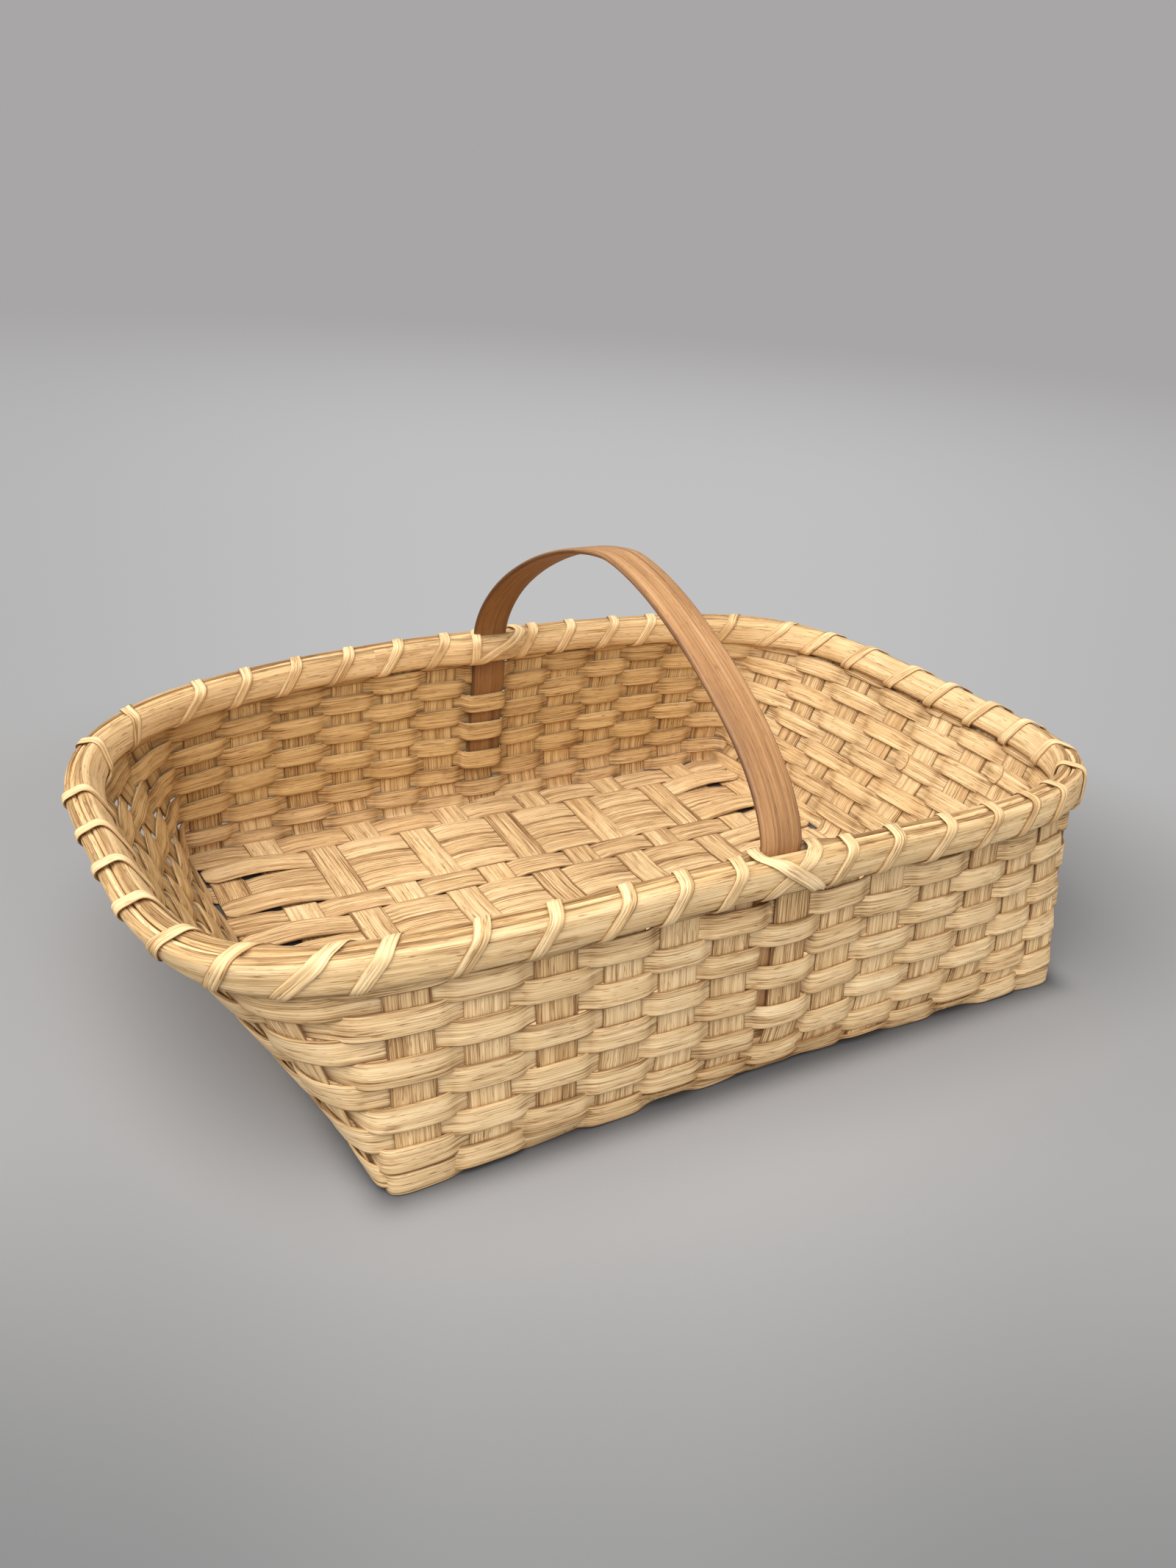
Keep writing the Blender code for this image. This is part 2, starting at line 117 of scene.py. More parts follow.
def drift(where: Array, seed: int, waves: int = 5) -> Array:
    """Slow random sway between about -1 and 1.

    It is a sum of sines whose lengths and phases are drawn from the seed.

    Args:
        where: Places along a path, in spaces of about one wave each.
        seed: Number that the waves are drawn from.
        waves: How many sines are added.

    Returns:
        The sway at each place.
    """
    draw = np.random.default_rng(seed)
    lengths = draw.uniform(0.6, 3.2, waves)
    phases = draw.uniform(0, 2 * math.pi, waves)
    angles = where[..., None] * 2 * math.pi / lengths + phases
    tallest = 1.4
    return np.sin(angles).sum(axis=-1) / math.sqrt(waves) / tallest


@dataclass
class Ring:
    """A closed plan curve followed by its arc length.

    It is a superellipse, |x/a|^n + |y/b|^n = 1, whose four sides may reach differently
    far and whose corners, from the near right one anticlockwise, have their own powers
    n. The near side may bow inwards. The arc starts at the middle of the near side and
    runs anticlockwise.
    """

    right: float
    left: float
    near: float
    far: float
    corners: tuple[float, float, float, float]
    stake_pitch: float
    spoke_pitch: float
    bow: float = 0.0
    steps: int = 1440

    def __post_init__(self) -> None:
        """Work out the curve's points, its arc and the arc of every station."""
        turn = np.linspace(-math.pi / 2, 3 * math.pi / 2, self.steps + 1)
        reach = np.where(np.cos(turn) > 0, self.right, self.left)
        across = np.abs(np.cos(turn)) / reach
        along = np.abs(np.sin(turn)) / np.where(np.sin(turn) > 0, self.far, self.near)
        largest = np.maximum(across, along)
        quarter = np.clip(((turn + math.pi / 2) / (math.pi / 2)).astype(int), 0, 3)
        power = np.array(self.corners)[quarter]
        sums = (across / largest) ** power + (along / largest) ** power
        radius = 1 / (largest * sums ** (1 / power))
        self.x = radius * np.cos(turn)
        self.y = radius * np.sin(turn)
        near = np.clip(-np.sin(turn), 0, 1)
        self.y = self.y + self.bow * near * np.clip(1 - (self.x / reach) ** 2, 0, 1)
        steps = np.hypot(np.diff(self.x), np.diff(self.y))
        self.arc = np.concatenate(([0.0], np.cumsum(steps)))
        self.length = self.arc[-1]
        middles = self.arc[:: self.steps // 4][:4]
        arcs = []
        for side, count in enumerate(SIDE_COUNTS):
            pitch = (self.stake_pitch, self.spoke_pitch)[side % 2]
            arcs.append(middles[side] + (np.arange(count) - (count - 1) / 2) * pitch)
        joined = np.concatenate(arcs)
        self.station_arcs = np.append(joined, joined[0] + self.length)

    def at(self, station: Array, along: Array | float = 0.0) -> Array:
        """Plan points at stations.

        Args:
            station: Stations, whole numbers at the stakes and spokes.
            along: Distance moved along the ring, anticlockwise.

        Returns:
            X and Y of each point.
        """
        turns = np.floor(station / STATIONS)
        rest = station - turns * STATIONS
        arc = np.interp(rest, np.arange(STATIONS + 1), self.station_arcs) + along
        arc = np.mod(arc, self.length)
        x = np.interp(arc, self.arc, self.x)
        y = np.interp(arc, self.arc, self.y)
        return np.stack((x, y), axis=-1)


def round_walls(station: Array, near: float, right: float, far: float, left: float) -> Array:
    """Values at stations of something that has one value in each wall.

    The value holds along a long wall and along an end wall up to its outer spokes, and
    goes over in straight lines between them.

    Args:
        station: Stations.
        near: Value in the near long wall.
        right: Value in the right end wall.
        far: Value in the far long wall.
        left: Value in the left end wall.

    Returns:
        The value at each station.
    """
    spoke_share = 1.5
    half = STATIONS / 2
    knots = (0, STAKES - 1, STAKES + spoke_share, half - 1 - spoke_share)
    stations = (*knots, *(half + knot for knot in knots), STATIONS)
    values = (near, near, right, right, far, far, left, left, near)
    return np.interp(np.mod(station, STATIONS), stations, values)


def round_table(station: Array, walls: Walls) -> Array:
    """Values at stations from one number for each stake and spoke, joined by straight lines.

    Args:
        station: Stations.
        walls: The numbers of the near, right, far and left wall, anticlockwise.

    Returns:
        The value at each station.
    """
    values = np.concatenate((*walls, walls[0][:1]))
    return np.interp(np.mod(station, STATIONS), np.arange(STATIONS + 1), values)


# How far each stake and spoke stands from its even place along the wall, anticlockwise,
# in millimetres: the near, right, far and left wall, at the four girths in SHIFT_GIRTHS.
FOOT_SHIFTS = (
    (-1.6, 0.8, 3.2, 3.8, 4.1, 3.8, 3.5, 2.4, 1.8, 1.8, 1.5, 1.4, 1.0),
    (-0.2, -3.9, -5.6, -6.8, -7.5, -6.7, -4.4, -0.6, 3.6),
    (-5.0, -6.0, -4.0, -5.5, -4.0, -5.0, -4.0, -5.0, -3.5, -2.7, -2.0, 0.0, 1.0),
    (-3.6, 0.6, 4.4, 6.7, 7.5, 6.8, 5.6, 3.9, 0.2),
)
LOW_SHIFTS = (
    (-1.1, 1.5, 3.4, 4.0, 4.8, 5.0, 7.0, 5.1, 4.0, 6.0, 6.3, 7.0, 1.8),
    (-2.0, -4.0, -6.0, -8.0, -6.0, -4.8, -6.0, -6.0, -4.0),
    (-0.8, -1.4, -0.6, -0.2, -0.6, -2.0, -0.6, -1.5, -1.4, 0.0, 0.0, 1.6, 1.6),
    (-2.0, 0.5, 3.5, 5.0, 6.0, 5.5, 4.5, 3.0, 0.0),
)
MIDDLE_SHIFTS = (
    (-1.6, 0.8, 3.0, 5.0, 3.3, 1.7, 4.0, 2.4, 3.0, 4.6, 5.7, 5.6, 1.0),
    (-3.0, -5.0, -6.2, -10.0, -10.4, -9.6, -8.2, -7.0, -5.5),
    (-1.0, -1.4, -1.4, -0.6, 0.0, -1.6, -1.6, -0.2, -1.0, 0.7, 1.3, 3.0, 2.3),
    (-1.0, 0.5, 2.5, 3.5, 4.0, 3.5, 3.0, 2.0, 0.0),
)
HIGH_SHIFTS = (
    (-2.2, 0.0, 0.9, 3.4, 0.8, -0.6, 2.2, 0.0, -1.7, 1.2, 2.7, 1.7, -2.0),
    (-3.0, -5.0, -6.5, -11.0, -10.8, -12.0, -5.2, -4.0, -4.2),
    (-3.0, -3.1, -2.3, -3.9, -1.8, -4.1, -3.9, -2.9, -2.5, -0.8, 1.8, 3.1, 2.3),
    (0.0,) * SPOKES,
)
SHIFT_TABLES = (FOOT_SHIFTS, LOW_SHIFTS, MIDDLE_SHIFTS, HIGH_SHIFTS)
SHIFT_GIRTHS = (0.0, 20.0, 48.0, 82.0)
# How much higher than its plain height the rim runs at each stake and spoke.
RIM_LIFTS = (
    (1.4, 1.1, 0.7, 0.4, 0.1, -0.3, -0.9, -1.1, -1.1, -1.1, -0.7, -0.2, 0.4),
    (1.0, 1.4, 1.5, 1.5, 1.5, 1.5, 1.5, 1.5, 1.3),
    (1.0, 0.8, 0.8, 0.8, 0.8, 0.8, 0.6, 0.6, 0.6, 0.4, 0.2, 0.2, 0.3),
    (0.8, 1.0, 1.0, 1.0, 1.0, 1.0, 1.0, 1.2, 1.4),
)
# The lengthwise strips of the base, spoke and filler by turns, from near to far.
STRIP_MIDDLES = (
    -125.0, -111.5, -97.5, -83.0, -68.0, -53.0, -38.0, -23.0,
    -7.5, 8.5, 24.5, 41.0, 58.0, 75.0, 93.0, 111.0, 128.5,
)
OUTER_EDGES = (-132.5, 139.2)
INNER_EDGES = (np.array(STRIP_MIDDLES[1:]) + STRIP_MIDDLES[:-1]) / 2
STRIP_EDGES = np.concatenate((OUTER_EDGES[:1], INNER_EDGES, OUTER_EDGES[1:])) * MM
# How far each crosswise stake bends to the right at most, and the bend's course.
BASE_SWAYS = (2.5, 3.3, 3.8, 5.1, 4.8, 8.5, 8.1, 8.5, 7.9, 8.6, 8.1, 8.4, 3.0)
SWAY_PLACES = (-139.0, -60.0, 30.0, 60.0, 90.0, 110.0, 136.0)
SWAY_SHARES = (0.0, -0.6, -1.0, -0.72, -0.37, -0.15, 0.0)


def base_sway(stake: int, y: Array) -> Array:
    """How far a crosswise stake bends to the right on the base, at places across it."""
    return BASE_SWAYS[stake - 1] * MM * np.interp(y, np.array(SWAY_PLACES) * MM, SWAY_SHARES)


def stake_place(stake: int, y: float) -> float:
    """Where a crosswise stake lies on the base.

    Args:
        stake: Its number, counted from the left.
        y: Place across the base.

    Returns:
        Its place along X.
    """
    near, far = FOOT_SHIFTS[0][stake - 1] * MM, -FOOT_SHIFTS[2][STAKES - stake] * MM
    line = near + (far - near) * (y + BASE_HALF_WIDTH) / (2 * BASE_HALF_WIDTH)
    return (stake - 1 - NEAR_HANDLE) * STAKE_PITCH + line + float(base_sway(stake, np.array(y)))


def rim_lift(station: Array) -> Array:
    """How much higher or lower than its plain height the rim's lower edge runs."""
    return round_table(station, RIM_LIFTS) * MM


def base_ring() -> Ring:
    """The edge of the base, its near side bowed in.

    Returns:
        The ring at the foot of the walls.
    """
    return Ring(
        right=165 * MM,
        left=166 * MM,
        near=BASE_HALF_WIDTH,
        far=BASE_HALF_WIDTH,
        corners=(60, 60, 60, 60),
        stake_pitch=STAKE_PITCH,
        spoke_pitch=SPOKE_PITCH,
        bow=5 * MM,
    )


def rim_ring() -> Ring:
    """The walls' top, which reaches further at the left end and is rounder than the base.

    Returns:
        The ring at the top of the walls.
    """
    return Ring(
        right=209.5 * MM,
        left=230.5 * MM,
        near=138 * MM,
        far=138 * MM,
        corners=(4, 4, 3.2, 4.4),
        stake_pitch=26 * MM,
        spoke_pitch=29.4 * MM,
    )


@dataclass
class Skin:
    """The surface that the reeds are woven on, from the middle of the base to the rim.

    A place on it has a station, which counts stakes and spokes anticlockwise from the
    near left one, and a girth, the way up the wall from the edge of the base. The girth
    is negative on the base. Wall and base meet in a short bend.
    """

    base: Ring = field(default_factory=base_ring)
    rim: Ring = field(default_factory=rim_ring)
    height: float = 103.5 * MM
    bend: float = 3 * MM
    floor: float = 1.3 * MM
    end_drop: float = 0.084
    chord: float = 8 * MM
    climb: float = 1.5 * MM

    def shift(self, station: Array, girth: Array) -> Array:
        """How far the stakes and spokes stand from their even places along the wall.

        It goes in straight lines from each table to the next one up the wall.

        Args:
            station: Stations, one for each point.
            girth: Ways up from the base's edge.

        Returns:
            Distances along the ring.
        """
        tables = [round_table(station, table) for table in SHIFT_TABLES]
        shift = tables[0]
        for place, (low, high) in enumerate(zip(SHIFT_GIRTHS[:-1], SHIFT_GIRTHS[1:])):
            share = np.clip((girth - low * MM) / ((high - low) * MM), 0, 1)
            shift = shift + (tables[place + 1] - tables[place]) * share
        return shift * MM

    def straight(self, station: Array, girth: Array, along: Array | float = 0.0) -> Array:
        """Points of the wall itself: straight lines from the base ring to the rim ring.

        The rim drops towards the two ends with the square of its distance from the middle.

        Args:
            station: Stations, one for each point.
            girth: Ways up from the base's edge.
            along: Distance moved along the ring.

        Returns:
            One point for each station.
        """
        moved = along + self.shift(station, girth)
        low = self.base.at(station, moved)
        top = self.rim.at(station, moved)
        share = girth / self.height
        drop = self.end_drop * (top[..., 0] / self.rim.right) ** 2
        plan = low + share[..., None] * (top - low)
        level = self.floor + girth * (1 - drop - self.floor / self.height)
        return np.concatenate((plan, level[..., None]), axis=-1)

    def plan_outward(self, station: Array) -> Array:
        """Level unit vectors that point out of the base ring."""
        forward = self.base.at(station, self.chord) - self.base.at(station, -self.chord)
        return unit(np.stack((forward[..., 1], -forward[..., 0], np.zeros_like(forward[..., 0])), axis=-1))

    def point(
        self, station: Array, girth: Array, along: Array | float = 0.0, outward: Array | None = None
    ) -> Array:
        """Points of the skin.

        The wall goes over into the level base along a quadratic curve with its corner at
        the base ring: it leaves the wall at girth +bend and reaches the base at -bend.

        Args:
            station: Stations, one for each point.
            girth: Ways up from the base's edge.
            along: Distance moved along the ring.
            outward: Level direction in which the base ends, if it isn't the ring's own.

        Returns:
            One point for each station.
        """
        out = self.plan_outward(station) if outward is None else outward
        foot = self.straight(station, np.zeros_like(girth), along)
        knee = self.straight(station, np.full_like(girth, self.bend), along)
        sole = foot - out * self.bend
        share = np.clip((girth + self.bend) / (2 * self.bend), 0, 1)[..., None]
        curve = (1 - share) ** 2 * sole + 2 * share * (1 - share) * foot + share**2 * knee
        base = sole + out * (girth + self.bend)[..., None]
        wall = self.straight(station, girth, along)
        height = girth[..., None]
        return np.where(height > self.bend, wall, np.where(height < -self.bend, base, curve))

    def frame(self, station: Array, girth: Array) -> tuple[Array, Array, Array, Array]:
        """Points of the skin and three unit vectors at each of them.

        Args:
            station: Stations, one for each point.
            girth: Ways up from the base's edge.

        Returns:
            The points, and their directions along the ring, up the wall and outward.
        """
        here = self.point(station, girth)
        forward = unit(self.point(station, girth, self.chord) - self.point(station, girth, -self.chord))
        upward = self.point(station, girth + self.climb) - self.point(station, girth - self.climb)
        outward = unit(np.cross(forward, upward))
        return here, forward, unit(np.cross(outward, forward)), outward


def oval(corners: int, flatness: float, crown: float) -> Array:
    """Cross-section of a reed, as shares of its half width and half thickness.

    Corner k stands at angle a: across = |cos a|^(2/flatness), through = |sin a|^(2/crown),
    each with the sign of its cosine or sine.

    Args:
        corners: How many corners it has.
        flatness: Power that squares its two edges.
        crown: Power that squares its face and back.

    Returns:
        Across and through for each corner.
    """
    angle = 2 * math.pi * np.arange(corners) / corners
    across = np.sign(np.cos(angle)) * np.abs(np.cos(angle)) ** (2 / flatness)
    through = np.sign(np.sin(angle)) * np.abs(np.sin(angle)) ** (2 / crown)
    return np.stack((across, through), axis=-1)


def half_round(corners: int, fullness: float) -> Array:
    """Cross-section of a half-round strip, a flat back behind a round front.

    The front stands at angle a: across = |sin a|^(2/fullness) with the sine's sign, and
    through = 2 |cos a|^(2/fullness) - 1.

    Args:
        corners: How many corners the front has.
        fullness: Power that squares the front.

    Returns:
        Across and through for each corner, as shares of half width and half thickness.
    """
    angle = np.linspace(-math.pi / 2, math.pi / 2, corners)
    across = np.sign(np.sin(angle)) * np.abs(np.sin(angle)) ** (2 / fullness)
    through = -1 + 2 * np.abs(np.cos(angle)) ** (2 / fullness)
    back = np.array(((0.9, -1.08), (0.0, -1.1), (-0.9, -1.08)))
    return np.concatenate((np.stack((across, through), axis=-1), back))


def ridged(ridges: int, depth: float) -> Array:
    """Cross-section of a lashing reed, a flat back behind a front with long ridges.

    The front is a shoulder, 1 - |across|^6, with a cosine wave on it.

    Args:
        ridges: How many ridges it has.
        depth: Half the depth of the grooves, as a share of the half thickness.

    Returns:
        Across and through for each corner, as shares of half width and half thickness.
    """
    corners_a_ridge = 4
    across = np.linspace(-1, 1, corners_a_ridge * ridges + 1)
    shoulder = (1 - np.abs(across) ** 6) * 0.75
    through = shoulder + depth * np.cos(math.pi * ridges * across) * shoulder
    back = np.array(((0.94, -0.7), (0.5, -1), (-0.5, -1), (-0.94, -0.7)))
    return np.concatenate((np.stack((across, through), axis=-1), back))


@dataclass
class Strip:
    """A reed or a strap: a closed cross-section carried along a path.

    Each step of the path has its middle, the unit vectors across and outward, and the
    strip's whole width and thickness there. The tone makes the strip lighter or darker
    than the others and the start moves its grain. Tucked is painted shade where the
    strip dives under, and its back gets painted shade too.
    """

    middle: Array
    across: Array
    outward: Array
    width: Array
    thickness: Array
    profile: Array
    tone: float = 0.0
    start: float = 0.0
    tucked: Array | float = 0.0
    back_shade: float = 0.2

    def __post_init__(self) -> None:
        """Turn the cross-section round where it would face inwards."""
        travel = np.gradient(self.middle, axis=0)
        side = np.einsum("ij,ij->i", np.cross(self.across, self.outward), travel)
        if side.sum() < 0:
            self.profile = self.profile[::-1]

    def vertices(self) -> Array:
        """Points of the surface: middle + half width * across + half thickness * outward.

        Returns:
            A point for each step of the path and each corner of the cross-section.
        """
        half_width, half_thickness = self.width[:, None] / 2, self.thickness[:, None] / 2
        across = self.across[:, None, :] * (half_width * self.profile[None, :, 0])[..., None]
        through = self.outward[:, None, :] * (half_thickness * self.profile[None, :, 1])[..., None]
        return self.middle[:, None, :] + across + through

    def run(self) -> Array:
        """Way along the path at each step, from the strip's own start of grain."""
        steps = np.linalg.norm(np.diff(self.middle, axis=0), axis=1)
        return self.start + np.concatenate(([0.0], np.cumsum(steps)))

    def girths(self) -> Array:
        """Way round the cross-section.

        Returns:
            The way at each of its corners, and at the first one again.
        """
        half = np.array((self.width.mean() / 2, self.thickness.mean() / 2))
        closed = np.concatenate((self.profile, self.profile[:1])) * half
        steps = np.linalg.norm(np.diff(closed, axis=0), axis=1)
        return np.concatenate(([0.0], np.cumsum(steps)))

    def marks(self) -> Array:
        """What the finish reads from the strip.

        Returns:
            For each point the strip's tone, how much painted shade it gets on its back and
            where it is tucked under, and how near an edge.
        """
        rows = len(self.middle)
        # Painted shade: the back of the cross-section and the places tucked under get darker.
        inner = (self.profile[:, 1] < 0) * self.back_shade + np.broadcast_to(self.tucked, rows)[:, None]
        edge = np.broadcast_to(np.abs(self.profile[:, 0]), inner.shape)
        return np.stack((np.full(inner.shape, self.tone), inner, edge), axis=-1)


def quads(rows: int, corners: int, first: int) -> Array:
    """Corner indices of the faces between neighbouring cross-sections.

    Args:
        rows: How many cross-sections there are.
        corners: How many corners each of them has.
        first: Index of the first corner.

    Returns:
        Four indices for each face.
    """
    row, corner = np.meshgrid(np.arange(rows - 1), np.arange(corners), indexing="ij")
    after = (corner + 1) % corners
    low = first + row * corners
    high = low + corners
    return np.stack((low + corner, low + after, high + after, high + corner), axis=-1).reshape(-1, 4)


def weave_mesh(name: str, strips: Sequence[Strip]) -> bpy.types.Object:
    """Make one mesh of strips, closed at both ends.

    Its UV map Reed gives the way along and round each strip in metres, and its
    attribute reed the marks.

    Args:
        name: The piece's name.
        strips: The strips that it is made of.

    Returns:
        The object, linked into the scene.
    """
    points, marks, corners, starts, maps = [], [], [], [], []
    first = 0
    used = 0
    for strip in strips:
        rows, around = len(strip.middle), len(strip.profile)
        faces = quads(rows, around, first)
        points.append(strip.vertices().reshape(-1, 3))
        marks.append(strip.marks().reshape(-1, 3))
        run, girths = strip.run(), strip.girths()
        row, corner = np.meshgrid(np.arange(rows - 1), np.arange(around), indexing="ij")
        u = np.stack((run[row], run[row], run[row + 1], run[row + 1]), axis=-1)
        v = np.stack((girths[corner], girths[corner + 1], girths[corner + 1], girths[corner]), axis=-1)
        maps.append(np.stack((u, v), axis=-1).reshape(-1, 2))
        corners.append(faces.reshape(-1))
        starts.append(used + 4 * np.arange(len(faces)))
        used += 4 * len(faces)
        ends = (first + np.arange(around)[::-1], first + (rows - 1) * around + np.arange(around))
        for end, where in zip(ends, (run[0], run[-1])):
            corners.append(end)
            starts.append(np.array([used]))
            maps.append(np.stack((np.full(around, where), girths[:-1]), axis=-1))
            used += around
        first += rows * around
    mesh = bpy.data.meshes.new(name)
    placed = np.concatenate(points)
    mesh.vertices.add(len(placed))
    mesh.vertices.foreach_set("co", placed.astype(np.float32).ravel())
    indices = np.concatenate(corners)
    mesh.loops.add(len(indices))
    mesh.loops.foreach_set("vertex_index", indices.astype(np.int32))
    loop_starts = np.concatenate(starts)
    mesh.polygons.add(len(loop_starts))
    mesh.polygons.foreach_set("loop_start", loop_starts.astype(np.int32))
    mesh.update(calc_edges=True)
    layer = mesh.uv_layers.new(name="Reed")
    layer.uv.foreach_set("vector", np.concatenate(maps).astype(np.float32).ravel())
    attribute = mesh.attributes.new("reed", "FLOAT_VECTOR", "POINT")
    attribute.data.foreach_set("vector", np.concatenate(marks).astype(np.float32).ravel())
    mesh.shade_smooth()
    mesh.set_sharp_from_angle(angle=SHARP_FROM)
    made = bpy.data.objects.new(name, mesh)
    bpy.context.scene.collection.objects.link(made)
    return made


def hand_over(made: bpy.types.Object, node: str, finish: bpy.types.Material) -> None:
    """Dress a piece, let it ride on the basket and stand for its CAD node.

    Args:
        made: The piece.
        node: The CAD node that it replaces.
        finish: Its material.
    """
    made.data.materials.append(finish)
    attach(made, "root")
    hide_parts(node)
    LOG.info("%s stands for %s with %d faces", made.name, node, len(made.data.polygons))


class Wire:
    """An output socket of a material. Arithmetic on wires adds Math nodes."""

    def __init__(self, tree: bpy.types.NodeTree, socket: bpy.types.NodeSocket) -> None:
        """Keep the tree and the socket."""
        self.tree = tree
        self.socket = socket

    def _math(self, operation: str, first: Any, second: Any) -> "Wire":
        """Add one Math node.

        Args:
            operation: What it works out.
            first: The first wire or number.
            second: The second wire or number.

        Returns:
            Its result.
        """
        node = self.tree.nodes.new("ShaderNodeMath")
        node.operation = operation
        for value, socket in zip((first, second), node.inputs):
            plug(self.tree, value, socket)
        return Wire(self.tree, node.outputs[0])

    def __add__(self, other: Any) -> "Wire":
        """Sum."""
        return self._math("ADD", self, other)

    __radd__ = __add__

    def __sub__(self, other: Any) -> "Wire":
        """Difference."""
        return self._math("SUBTRACT", self, other)

    def __rsub__(self, other: Any) -> "Wire":
        """Difference from a number."""
        return self._math("SUBTRACT", other, self)

    def __mul__(self, other: Any) -> "Wire":
        """Product."""
        return self._math("MULTIPLY", self, other)

    __rmul__ = __mul__

    def __pow__(self, power: float) -> "Wire":
        """Power."""
        return self._math("POWER", self, power)

    def __abs__(self) -> "Wire":
        """Size without its sign."""
        return self._math("ABSOLUTE", self, 0.0)

    def over(self, low: float, high: float) -> "Wire":
        """Share that grows smoothly from 0 at the low number to 1 at the high one.

        Args:
            low: Where the share is 0, and below.
            high: Where the share is 1, and above.

        Returns:
            The share.
        """
        node = self.tree.nodes.new("ShaderNodeMapRange")
        node.interpolation_type = "SMOOTHSTEP"
        for value, name in ((self, "Value"), (low, "From Min"), (high, "From Max")):
            plug(self.tree, value, node.inputs[name])
        return Wire(self.tree, node.outputs[0])


def plug(tree: bpy.types.NodeTree, value: Any, socket: bpy.types.NodeSocket) -> None:
    """Link a wire to a socket, or set a plain value on it.

    Args:
        tree: The material's node tree.
        value: A wire, a number, a vector or a colour.
        socket: The socket, an input.
    """
    if isinstance(value, Wire):
        tree.links.new(value.socket, socket)
    elif isinstance(value, tuple) and socket.type == "RGBA" and len(value) == 3:
        socket.default_value = (*value, 1.0)
    else:
        socket.default_value = value


def find_socket(sockets: Any, key: str | int) -> bpy.types.NodeSocket:
    """Find a socket of a node.

    Args:
        sockets: The node's inputs or outputs.
        key: The socket's number, its identifier or its name.

    Returns:
        The socket.
    """
    if isinstance(key, int):
        return sockets[key]
    for socket in sockets:
        if socket.identifier == key:
            return socket
    return sockets[key]


@dataclass(frozen=True)
class Grain:
    """A noise on a strip's own coordinates: its waves in each metre and its detail."""

    along: float
    across: float
    detail: float = 1.0
    rough: float = 0.5


